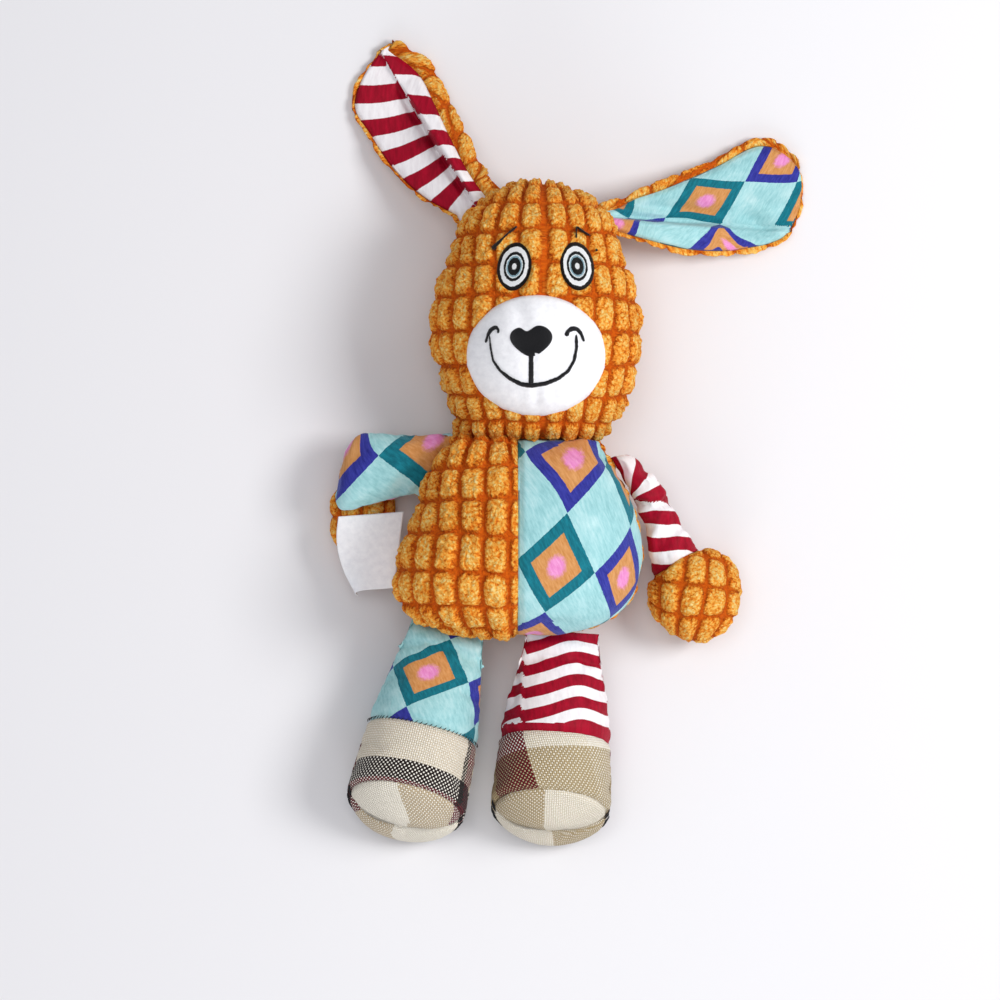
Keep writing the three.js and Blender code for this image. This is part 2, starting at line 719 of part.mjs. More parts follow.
// The rounded edge that a limb or an ear is sewn in by, along its hinge
function sewnEdge(form) {
  const cut = section(form, 0);
  const edge = new THREE.CylinderGeometry(edgeRadius, edgeRadius, cut.left + cut.right, edgeSides);
  return solid(edge.rotateZ(Math.PI / 2).translate((cut.right - cut.left) / 2, 0, 0));
}

// The space above an ear's middle, drawn in from the ear's outline on each side
function earInside(form, drawLeft, drawRight, lift) {
  const rows = form.rows.map(([along, left, right, , , drop]) => [
    along, left - drawLeft / form.left, right - drawRight / form.right, 1, 1, drop,
  ]);
  const tall = { ...form, rows, front: earSkin * earClearShare, back: earSkin * earBedShare };
  const tip = 1 - Math.min(drawLeft, drawRight) / form.length;
  const from = (edgeRadius + gap) / form.length;
  return formSolid(tall, { from, to: tip, push: 0 }).translate([0, 0, lift]);
}

// One ear: a front panel lying in the folded edge of a back panel
function buildEar(name, size, lining) {
  const form = {
    rows: size.rows, length: size.length, direction: -1, drop: seamHeight - earSkin - gap,
    left: size.halfWidth, right: size.halfWidth, front: earSkin, back: earSkin,
    endRound: size.endRound, power: tipRoundness, squareness: earSquareness, sides: earSides, rings: earRings,
  };
  const root = section(form, 0);
  const group = limbGroup(headForm, size.heading, size.lateral, (root.left + root.right) / 2);
  const whole = formSolid(form);
  const [drawLeft, drawRight] = size.draws;
  const bed = earSkin * earBedShare;
  const panel = whole.intersect(earInside(form, drawLeft, drawRight, bed));
  const around = earInside(form, drawLeft - gap, drawRight - gap, bed - gap);
  const back = whole.add(sewnEdge(form)).subtract(around);
  group.add(piece(`${name}_ear_front_panel`, panel, lining));
  group.add(piece(`${name}_ear_back_panel`, back, corduroy()));
  return group;
}

// The skins along a form, each a tube and no thinner than the one before, and the filling through them
function buildSkins(form, stretches, fillName) {
  const step = 3 * gap / form.length;
  const inside = { ...form, sides: insideSides };
  const pieces = [];
  const fills = [];
  stretches.forEach(({ name, from, to, skin, finish }) => {
    const ends = { from: from === 0 ? form.fillFrom : from - step, to: to === 1 ? form.fillTo : to + step };
    const inner = formSolid(inside, { ...ends, grow: -skin });
    const skinned = formSolid(form, { from, to }).subtract(inner);
    pieces.push(piece(name, from === 0 && form.hem ? skinned.add(sewnEdge(form)) : skinned, finish));
    const fillTo = to === 1 ? form.fillTo : to;
    fills.push(formSolid(inside, { from: ends.from, to: fillTo, grow: -skin - gap, push: -gap }));
  });
  pieces.push(piece(fillName, fills.reduce((whole, part) => whole.add(part)), fibre()));
  return pieces;
}

// One leg: a sleeve, the foot's upper and its sole round one filling
function buildLeg(name, size, finish) {
  const form = {
    rows: legShares, length: size.length, direction: -1, drop: seamHeight - legDepth - gap, tilt: legTilt,
    left: legHalfWidth, right: legHalfWidth, front: legDepth, back: legDepth, hem: true,
    endRound: legTipShare, power: tipRoundness, sides: limbSides, rings: limbRings, fillFrom: legFillShare,
  };
  const group = limbGroup(bodyForm, size.heading, size.lateral, legHalfWidth);
  const half = gap / 2 / size.length;
  const sleeve = { from: 0, to: footShare - half, skin: printSkin, finish };
  const upper = { from: footShare + half, to: soleShare - half, skin: canvasSkin, finish: plaid() };
  group.add(...buildSkins(form, [
    { name: `${name}_leg_sleeve`, ...sleeve },
    { name: `${name}_foot_upper`, ...upper },
  ], `${name}_leg_filling`));
  const sole = formSolid({ ...form, rings: soleRings }, { from: soleShare + half });
  group.add(piece(`${name}_sole`, sole, plaid()));
  return group;
}

// The left arm hangs at the body's side and swings on its shoulder
function buildLeftArm() {
  const form = {
    rows: leftArmShares, length: leftArmLength, direction: -1, start: leftArmStart,
    drop: armRise - leftHandDepth - gap,
    left: leftArmInner, right: leftArmOuter, front: leftHandDepth, back: leftHandDepth,
    startRound: leftArmTopShare, endRound: leftHandTipShare, power: leftArmRoundness,
    sides: limbSides, rings: limbRings + 2, fillFrom: leftFillShares[0], fillTo: leftFillShares[1],
  };
  const side = leftArmHeading + 90;
  const group = limbGroup(bodyForm, side, leftArmLateral, leftArmStart, gap);
  group.rotation.z = THREE.MathUtils.degToRad(side);
  group.position.z = armRise;
  const half = gap / 2 / leftArmLength;
  group.add(...buildSkins(form, [
    { name: 'left_arm_sleeve', from: 0, to: cuffShare - half, skin: printSkin, finish: stripe() },
    { name: 'left_hand', from: cuffShare + half, to: 1, skin: pileSkin, finish: corduroy() },
  ], 'left_arm_filling'));
  return group;
}

// The right arm lies out to the side, with its hand folded down under the sleeve
function buildRightArm() {
  const form = {
    rows: rightArmShares, length: rightArmLength, direction: -1, drop: rightArmSag,
    left: rightArmReach, right: rightArmReach, front: rightArmDepth, back: rightArmDepth,
    endRound: rightArmTipShare, power: tipRoundness, sides: limbSides, rings: limbRings,
  };
  const handForm = {
    rows: rightHandShares, length: rightHandLength, direction: -1, drop: 0,
    left: rightHandHalfWidth, right: rightHandHalfWidth, front: rightHandDepth, back: rightHandDepth,
    startRound: rightHandRoundShares[0], endRound: rightHandRoundShares[1], power: tipRoundness,
    sides: limbSides, rings: limbRings,
  };
  const group = limbGroup(bodyForm, rightArmHeading, rightArmLateral, rightArmReach);
  const turn = rightArmHeading + 90;
  const placed = (shape) => shape
    .translate([-rightHandOut, -rightHandDown, rightHandDepth + gap - seamHeight])
    .rotate([0, 0, -turn]);
  const filled = { from: rightFillShare, to: 1 - pileSkin / rightArmLength };
  const sleeve = formSolid(form);
  const sleeveInside = formSolid({ ...form, sides: insideSides }, { ...filled, grow: -printSkin });
  const handEnds = { from: pileSkin / rightHandLength, to: 1 - pileSkin / rightHandLength };
  const handInside = placed(formSolid({ ...handForm, sides: insideSides }, { ...handEnds, grow: -pileSkin }));
  const wrist = (radius) => placed(solid(new THREE.CylinderGeometry(radius, radius, wristReach, wristSides)
    .rotateX(Math.PI / 2).translate(0, -wristDown, wristReach / 2)));
  const handSkin = placed(formSolid(handForm)).subtract(handInside).subtract(wrist(wristRadius))
    .subtract(formSolid(form, { grow: gap }));
  const sleeveSkin = sleeve.subtract(sleeveInside).subtract(handInside).subtract(wrist(wristRadius))
    .add(sewnEdge(form));
  const thick = pileSkin + gap;
  const filling = formSolid({ ...form, sides: insideSides }, { ...filled, grow: -thick })
    .add(placed(formSolid({ ...handForm, sides: insideSides }, { ...handEnds, grow: -thick })))
    .add(wrist(wristRadius - gap));
  group.add(piece('right_arm_sleeve', sleeveSkin, print()));
  group.add(piece('right_hand', handSkin, corduroy()));
  group.add(piece('right_arm_filling', filling, fibre()));
  group.add(buildLabel(form));
  return group;
}

// A blank care label sewn into the sleeve's lower seam
function buildLabel(form) {
  const turn = labelHeading - rightArmHeading - 90;
  const flat = Math.cos(Math.PI / form.sides); // the sleeve's facets lie this much inside its outline
  const sleeve = { ...form, left: form.left * flat, right: form.right * flat, middle: 0, rise: 0 };
  const seat = findSeat(sleeve, THREE.MathUtils.degToRad(turn), labelLateral, labelWidth / 2);
  sleeve.seam = -section(form, seat.along).drop;
  const label = limbGroup(sleeve, turn, labelLateral, labelWidth / 2, gap);
  label.rotation.order = 'ZXY';
  label.rotation.x = THREE.MathUtils.degToRad(labelDip);
  const start = labelThickness / 2;
  const plate = block(
    new THREE.Vector3(-labelWidth / 2, -start - labelLength, -labelThickness / 2),
    new THREE.Vector3(labelWidth / 2, -start, labelThickness / 2),
  );
  label.add(piece('care_label', plate, satin()));
  return label;
}

// The assembled toy
const toy = new THREE.Group();
toy.add(buildBody());
const head = buildHead();
head.add(buildEar('right', {
  rows: rightEarShares, length: earLength, halfWidth: earHalfWidth, endRound: rightEarRoundShare,
  heading: rightEarHeading, lateral: rightEarLateral, draws: [earRim, earHem],
}, stripe()));
head.add(buildEar('left', {
  rows: leftEarShares, length: leftEarLength, halfWidth: leftEarHalfWidth, endRound: leftEarRoundShare,
  heading: leftEarHeading, lateral: leftEarLateral, draws: [earHem, earRim / 2],
}, print()));
toy.add(head);
toy.add(buildLeftArm());
toy.add(buildRightArm());
toy.add(buildLeg('right', {
  length: rightLegLength, heading: rightLegHeading, lateral: rightLegLateral,
}, print()));
toy.add(buildLeg('left', {
  length: leftLegLength, heading: leftLegHeading, lateral: leftLegLateral,
}, stripe()));

export default toy;
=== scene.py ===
"""The patchwork chew toy's looks: sewn and stuffed forms in corduroy, printed velour, velboa and plaid canvas."""

import json
import logging
import math
from collections.abc import Callable
from dataclasses import dataclass, field
from enum import Enum

import bmesh
import bpy
import numpy as np
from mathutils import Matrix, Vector
from mathutils.bvhtree import BVHTree

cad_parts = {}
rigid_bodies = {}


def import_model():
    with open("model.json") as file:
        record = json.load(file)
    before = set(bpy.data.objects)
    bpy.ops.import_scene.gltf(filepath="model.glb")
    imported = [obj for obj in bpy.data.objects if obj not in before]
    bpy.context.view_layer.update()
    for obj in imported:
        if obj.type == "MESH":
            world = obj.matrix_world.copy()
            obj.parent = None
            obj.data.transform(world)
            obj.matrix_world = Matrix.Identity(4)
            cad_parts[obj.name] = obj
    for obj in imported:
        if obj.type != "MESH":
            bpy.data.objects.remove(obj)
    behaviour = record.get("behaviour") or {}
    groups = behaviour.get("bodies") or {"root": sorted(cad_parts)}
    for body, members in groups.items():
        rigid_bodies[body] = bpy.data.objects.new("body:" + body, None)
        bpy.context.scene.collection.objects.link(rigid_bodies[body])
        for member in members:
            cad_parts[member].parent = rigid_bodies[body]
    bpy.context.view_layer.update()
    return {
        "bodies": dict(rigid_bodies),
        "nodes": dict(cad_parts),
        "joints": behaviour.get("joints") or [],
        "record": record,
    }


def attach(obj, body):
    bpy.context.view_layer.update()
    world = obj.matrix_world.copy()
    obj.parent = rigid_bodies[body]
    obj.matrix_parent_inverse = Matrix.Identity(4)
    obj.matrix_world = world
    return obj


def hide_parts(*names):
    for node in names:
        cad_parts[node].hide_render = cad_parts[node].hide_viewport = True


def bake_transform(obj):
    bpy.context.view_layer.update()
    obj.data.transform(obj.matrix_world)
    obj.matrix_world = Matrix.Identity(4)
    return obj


LOG = logging.getLogger("chew_toy")
MM = 0.001
GAP = 0.3
PILE_SKIN = 2.2
PRINT_SKIN = 1.4
CANVAS_SKIN = 1.6
SEAM_HEIGHT = 30.5
CLOTH = "cloth"
HALF, FULL, ROUND = math.pi, 2 * math.pi, -math.pi / 2
NEVER = 1e6
INNER_STEP = 4

Point = tuple[float, float]
Place = tuple[float, float, float]
Row = tuple[float, float, float, float, float, float]
Angle = Callable[[float], float]
Span = tuple[float | Angle, float | Angle, int]
Index = int | np.ndarray
Stops = tuple[tuple[float, str], ...]


class Side(Enum):
    """Which of the toy's own sides a piece is on."""

    RIGHT = -1
    LEFT = 1


# ---- numbers and noise -------------------------------------------------------------------------------------------


def linear(code: str) -> tuple[float, float, float, float]:
    """Linear red, green, blue and alpha of a colour given as six hexadecimal digits."""
    parts = [int(code[i : i + 2], 16) / 255 for i in (0, 2, 4)]
    return (*[p / 12.92 if p <= 0.04045 else ((p + 0.055) / 1.055) ** 2.4 for p in parts], 1.0)


def smooth(low: float, high: float, value: np.ndarray) -> np.ndarray:
    """A soft step from 0 at low to 1 at high, or down when low is the larger."""
    share = np.clip((value - low) / (high - low), 0, 1)
    return share * share * (3 - 2 * share)


def spun(x: np.ndarray, y: np.ndarray, degrees: float) -> tuple[np.ndarray, np.ndarray]:
    """Two coordinates turned counter-clockwise."""
    c, s = math.cos(math.radians(degrees)), math.sin(math.radians(degrees))
    return x * c - y * s, x * s + y * c


def reached(points: np.ndarray) -> np.ndarray:
    """The way covered at each point of a path, from 0 at its first one."""
    return np.concatenate([[0], np.cumsum(np.linalg.norm(np.diff(points, axis=0), axis=1))])


class Noise:
    """Smooth lattice noise over two coordinates, the same at every run."""

    size = 256

    def __init__(self, seed: int) -> None:
        """Fills the lattice from a seed."""
        self.table = np.random.default_rng(seed).uniform(-1, 1, (self.size, self.size))

    def at(self, u: np.ndarray, v: np.ndarray, scale: float) -> np.ndarray:
        """Values from -1 to 1 of the noise.

        Args:
            u: first coordinate, in mm.
            v: second coordinate, in mm.
            scale: width of one lump, in mm.

        Returns:
            One value for each pair of coordinates.
        """
        x, y = u / scale, v / scale
        i, j = np.floor(x).astype(int), np.floor(y).astype(int)
        a, b = (t * t * (3 - 2 * t) for t in (x - i, y - j))
        i, j = i % self.size, j % self.size
        k, m = (i + 1) % self.size, (j + 1) % self.size
        top = self.table[i, j] * (1 - a) + self.table[k, j] * a
        low = self.table[i, m] * (1 - a) + self.table[k, m] * a
        return top * (1 - b) + low * b


# ---- sewn forms --------------------------------------------------------------------------------------------------


@dataclass
class Swelling:
    """How far a form's fabric moved as it was stuffed: a shift for each place and angle, in mm."""

    places: np.ndarray
    shifts: np.ndarray

    def at(self, places: np.ndarray, angles: np.ndarray) -> np.ndarray:
        """The shift at each point of a grid, from its rings' places and its points' angles by ring."""
        rows, cols = self.shifts.shape[0] - 1, self.shifts.shape[1] - 1
        r = np.clip(np.interp(places, self.places, np.linspace(0, rows, len(self.places))), 0, rows - 1e-6)
        r = r[:, None] + 0 * angles
        c = (angles % FULL) / FULL * cols
        i, j = r.astype(int), np.minimum(c.astype(int), cols - 1)
        a, b = (r - i)[..., None], (c - j)[..., None]
        low, high = (self.shifts[k, j] * (1 - b) + self.shifts[k, j + 1] * b for k in (i, i + 1))
        return low * (1 - a) + high * a


@dataclass
class Form:
    """A stuffed form drawn through rows of shares: along, left, right, front, back, drop. Sizes are in mm.

    Its own frame has its seam's plane at z = 0 and runs along Y, up or down by direction.
    """

    rows: tuple[Row, ...]
    length: float
    direction: int
    left: float
    right: float
    front: float
    back: float
    drop: float = 0.0
    start: float = 0.0
    start_round: float = 0.0
    end_round: float = 0.0
    power: float = 2.2
    squareness: float = 2.0
    tilt: float = 0.0
    place: Place = (0.0, 0.0, 0.0)
    turn: float = 0.0
    folds: "tuple[Crease | Step, ...]" = ()
    pole: float = 0.0
    least: float = 0.15
    samples: int = 160
    swelling: Swelling | None = None

    def share(self, column: int, along: np.ndarray) -> np.ndarray:
        """A smooth value of one of the six columns at places along the form, from 0 to 1."""
        stops, values = np.array(self.rows)[:, [0, column]].T
        rows = np.arange(len(stops))
        a, b = np.maximum(rows - 1, 0), np.minimum(rows + 1, len(stops) - 1)
        slopes = (values[b] - values[a]) / (stops[b] - stops[a])
        place = np.clip(along, 0, 1)
        row = np.clip(np.searchsorted(stops, place, side="left") - 1, 0, len(stops) - 2)
        span = stops[row + 1] - stops[row]
        u = (place - stops[row]) / span
        bend = u * u * (3 - 2 * u)
        rise = u * (1 - u) ** 2 * span * slopes[row]
        fall = u * u * (1 - u) * span * slopes[row + 1]
        return values[row] + (values[row + 1] - values[row]) * bend + rise - fall

    def swell(self, along: np.ndarray) -> np.ndarray:
        """How far the rounded ends have swollen at each place."""
        share = np.ones_like(along)
        for length, past in ((self.start_round, 1 - along / (self.start_round or 1)),
                             (self.end_round, (along - 1 + self.end_round) / (self.end_round or 1))):
            if length:
                share = share * (1 - np.clip(past, 0, 1) ** self.power) ** (1 / self.power)
        return share

    def to_world(self, local: np.ndarray) -> np.ndarray:
        """Points of the form's own frame turned and set in their place."""
        x, y = spun(local[..., 0], local[..., 1], self.turn)
        placed = np.stack([x + self.place[0], y + self.place[1], local[..., 2] + self.place[2]], axis=-1)
        for fold in self.folds:
            placed[..., 2] += fold.dip(placed)
        return placed

    def root(self, inward: float, outward: float, still: str, moving: str) -> "Bend":
        """The seam at the form's first end, from so many mm inward of it to so many outward."""
        first, last = self.to_world(np.array([[0.0, self.start + inward, 0.0], [0.0, self.start - outward, 0.0]]))
        return Bend(still, moving, tuple(first), tuple(last))

    def ring(self, along: float, angles: np.ndarray, grow: float) -> np.ndarray:
        """Points round the form at one place along it.

        Args:
            along: the place, from 0 to 1, or a little past them for a straight end.
            angles: where on the ring, in radians, with 0 at +X and a quarter turn at the front.
            grow: how far out of the form's surface, in mm.

        Returns:
            One point for each angle, in the form's own frame.
        """
        place = np.array([along])
        swell = float(self.swell(place)[0])
        left, right, front, back = (
            float(self.share(column, place)[0]) * size * swell
            for column, size in ((1, self.left), (2, self.right), (3, self.front), (4, self.back))
        )
        sink = float(self.share(5, place)[0]) * self.drop
        half, front, back = (max(size + grow, self.least) for size in ((left + right) / 2, front, back))
        bulge = 2 / self.squareness
        c, s = np.cos(angles), np.sin(angles)
        x = (right - left) / 2 + (1 - swell) * self.pole + np.sign(c) * np.abs(c) ** bulge * half
        z = np.sign(s) * np.abs(s) ** bulge * np.where(s > 0, front, back)
        lean = self.tilt * max(along, 0) ** 1.5 * z
        y = self.start + self.direction * along * self.length + lean
        return np.stack([x, y, z - sink], axis=-1)

    def surface(self, places: np.ndarray, spans: list[Span], grow: float = 0.0) -> np.ndarray:
        """A grid of points over the form, evenly spaced round each stretch of each ring.

        Args:
            places: where the rings are, from 0 to 1.
            spans: for each stretch its first angle, its last angle and its number of steps. An angle may be a
                function of the place along the form.
            grow: how far out of the surface, in mm.

        Returns:
            Points by ring and by step, in world mm.
        """
        rings, turns = [], []
        for along in places:
            angles = []
            for first, last, steps in spans:
                a, b = (angle(along) if callable(angle) else angle for angle in (first, last))
                fine = np.linspace(a, b, self.samples)
                reach = reached(self.ring(along, fine, 0.0))
                angles.append(np.interp(np.linspace(0, reach[-1], steps + 1), reach, fine)[:-1])
            turns.append(np.concatenate([*angles, [b]]))
            rings.append(self.ring(along, turns[-1], grow))
        found = self.to_world(np.array(rings))
        return found + self.swelling.at(np.asarray(places), np.array(turns)) if self.swelling else found

    def places(self, first: float, last: float, steps: int) -> np.ndarray:
        """Rings between two places, evenly spaced over the surface as its top and its side show it."""
        fine = np.linspace(first, last, 600)
        tracks = np.array([self.ring(a, np.array([HALF / 2, HALF * 0.96]), 0.0) for a in fine])
        step = np.linalg.norm(np.diff(tracks, axis=0), axis=2).mean(axis=1)
        reach = np.concatenate([[0], np.cumsum(step)])
        return np.interp(np.linspace(0, reach[-1], steps + 1), reach, fine)

    def crossing(self, share: Callable[[float, float], float]) -> Angle:
        """Where each ring's front reaches a share of its half width.

        Args:
            share: gives the share, from -1 to 1, for a ring's left and right half widths in mm.

        Returns:
            A function from a place along the form to an angle.
        """
        def find(along: float) -> float:
            """The angle at one place."""
            place = np.array([along])
            swell = max(float(self.swell(place)[0]), 1e-3)
            sides = (float(self.share(k, place)[0]) * size * swell for k, size in ((1, self.left), (2, self.right)))
            found = share(*sides)
            return math.acos(np.sign(found) * abs(found) ** (self.squareness / 2))

        return find

    def inset(self, inset: float, side: Side) -> Angle:
        """Where each ring's front is so many mm in from one of its own sides."""
        return self.crossing(lambda left, right: side.value * np.clip(1 - inset / ((left + right) / 2), 0.05, 1))

    def line(self, x: float) -> Angle:
        """Where each ring's front crosses a line along the form, x mm from its middle."""
        return self.crossing(lambda left, right: np.clip((x - (right - left) / 2) / ((left + right) / 2), -0.9, 0.9))


def normals(points: np.ndarray, wrap: bool) -> np.ndarray:
    """Unit normals of a grid of points, whose last column is its first one again where it wraps."""
    if wrap:
        ring = np.concatenate([points[:, -2:-1], points, points[:, 1:2]], axis=1)
        across = ring[:, 2:] - ring[:, :-2]
    else:
        across = np.gradient(points, axis=1)
    found = np.cross(np.gradient(points, axis=0), across)
    return found / np.maximum(np.linalg.norm(found, axis=2, keepdims=True), 1e-9)


@dataclass
class Cloth:
    """A grid of fabric with its outward normals, its cloth coordinates and its distance from the seams, in mm."""

    points: np.ndarray
    out: np.ndarray
    across: np.ndarray
    along: np.ndarray
    far: np.ndarray

    @classmethod
    def over(cls, form: Form, rings: np.ndarray, spans: list[Span], zero: int, seams: tuple[int, ...] = (),
             ends: tuple[int, ...] = (), wrap: bool = False) -> "Cloth":
        """Cuts a piece of fabric that covers a stretch of a form.

        Args:
            form: the stuffed form.
            rings: the places of its rings.
            spans: the stretches of each ring.
            zero: the step from which distances across are measured.
            seams: the steps that are seams.
            ends: the rings that are seams.
            wrap: whether the fabric closes on itself; its back is then measured from its own middle.

        Returns:
            The measured cloth.
        """
        points = form.surface(rings, spans)
        out = normals(points, wrap)
        mid = len(rings) // 2
        shift = form.surface(rings[mid : mid + 1], spans, 1.0)[0] - points[mid]
        if float((shift * out[mid]).sum()) < 0:
            out = -out
        steps = np.linalg.norm(np.diff(points, axis=1), axis=2)
        reach = np.concatenate([np.zeros((len(points), 1)), np.cumsum(steps, axis=1)], axis=1)
        across = reach - reach[:, zero : zero + 1]
        if wrap:
            quarter = (points.shape[1] - 1) // 4
            across[:, :quarter] = reach[:, :quarter]
            across[:, 3 * quarter + 1 :] = reach[:, 3 * quarter + 1 :] - reach[:, -1:]
        along = np.repeat(reached(points[:, zero])[:, None], points.shape[1], axis=1)
        far = np.full(across.shape, 1e3)
        for way, lines in ((reach, [reach[:, seam][:, None] for seam in seams]), (along, [along[end] for end in ends])):
            for line in lines:
                far = np.minimum(far, np.abs(way - line))
        return cls(points, out, across, along, far)

    def seen(self, x: float, y: float) -> np.ndarray:
        """Distances over the fabric from a point that is seen from above.

        Args:
            x: the point's place to the right, in mm.
            y: its place up the picture, in mm.

        Returns:
            For each point of the grid, mm to the right and mm up.
        """
        far = (self.points[..., 0] - x) ** 2 + (self.points[..., 1] - y) ** 2 - self.points[..., 2] * 0.5
        far[self.out[..., 2] < 0] = 1e6
        i, j = (int(np.clip(k, 2, n - 3)) for k, n in zip(np.unravel_index(np.argmin(far), far.shape), far.shape))
        side = self.points[i, j + 2] - self.points[i, j - 2]
        rise = self.points[i + 2, j] - self.points[i - 2, j]
        turn = np.array([[side[0], rise[0]], [side[1], rise[1]]])
        a, _, b = np.linalg.svd(turn / np.linalg.norm(turn, axis=0))
        flat = np.stack([self.across - self.across[i, j], self.along - self.along[i, j]], axis=-1)
        return flat @ (a @ b).T + (self.points[i, j, :2] - np.array([x, y]))


@dataclass(frozen=True)
class Line:
    """A line over the fabric, seen from above: its two ends in mm."""

    x0: float
    y0: float
    x1: float
    y1: float

    def parts(self, points: np.ndarray) -> tuple[float, float, np.ndarray, np.ndarray]:
        """The line's run to the right and up, and each point's place from its first end."""
        return self.x1 - self.x0, self.y1 - self.y0, points[..., 0] - self.x0, points[..., 1] - self.y0

    def left(self, points: np.ndarray) -> np.ndarray:
        """How far each point lies to the left of the line, in mm."""
        dx, dy, px, py = self.parts(points)
        return (py * dx - px * dy) / math.hypot(dx, dy)

    def along(self, points: np.ndarray) -> np.ndarray:
        """How far along the line each point lies, from 0 to 1."""
        dx, dy, px, py = self.parts(points)
        return np.clip((px * dx + py * dy) / (dx * dx + dy * dy), 0, 1)


@dataclass(frozen=True)
class Crease(Line):
    """A fold pressed into the fabric, with its depth and width in mm."""

    depth: float
    width: float

    def dip(self, points: np.ndarray) -> np.ndarray:
        """How far the whole thickness moves at each point: down in the crease and up beside it."""
        dx, dy, px, py = self.parts(points)
        t = self.along(points)
        far = np.hypot(px - t * dx, py - t * dy) / self.width
        ends = np.sin(np.pi * np.clip(t * 0.9 + 0.05, 0, 1)) ** 0.7
        return ends * self.depth * (-np.exp(-(far**2)) + 0.45 * np.exp(-((far - 1.9) ** 2)))

    def press(self, points: np.ndarray) -> np.ndarray:
        """How far the crease moves each point out of the surface, on the front alone."""
        return smooth(SEAM_HEIGHT - 12, SEAM_HEIGHT, points[..., 2]) * self.dip(points)


@dataclass(frozen=True)
class Step(Line):
    """A lip where a thin piece is folded over: left of the line the fabric stands up, in mm."""

    height: float
    width: float
    hollow: float = 0.0
    spread: float = 2.6

    def dip(self, points: np.ndarray) -> np.ndarray:
        """How far the whole thickness moves at each point."""
        far = self.left(points)
        ends = np.sin(np.pi * np.clip(self.along(points) * 0.94 + 0.03, 0, 1)) ** 0.6
        lip = smooth(-0.9, 0.9, far) * np.sqrt(np.clip(1 - (np.maximum(far, 0) / self.width) ** 2, 0, 1))
        return ends * (self.height * lip - self.hollow * np.exp(-(((far + 1.2 * self.spread) / self.spread) ** 2)))


# ---- meshes ------------------------------------------------------------------------------------------------------


def linked(name: str, data: bpy.types.ID) -> bpy.types.Object:
    """A new object in the scene, at the origin."""
    made = bpy.data.objects.new(name, data)
    bpy.context.scene.collection.objects.link(made)
    return made


def face_out(mesh: bpy.types.Mesh) -> None:
    """Turns a closed mesh's faces out."""
    work = bmesh.new()
    work.from_mesh(mesh)
    bmesh.ops.recalc_face_normals(work, faces=work.faces)
    work.to_mesh(mesh)
    work.free()


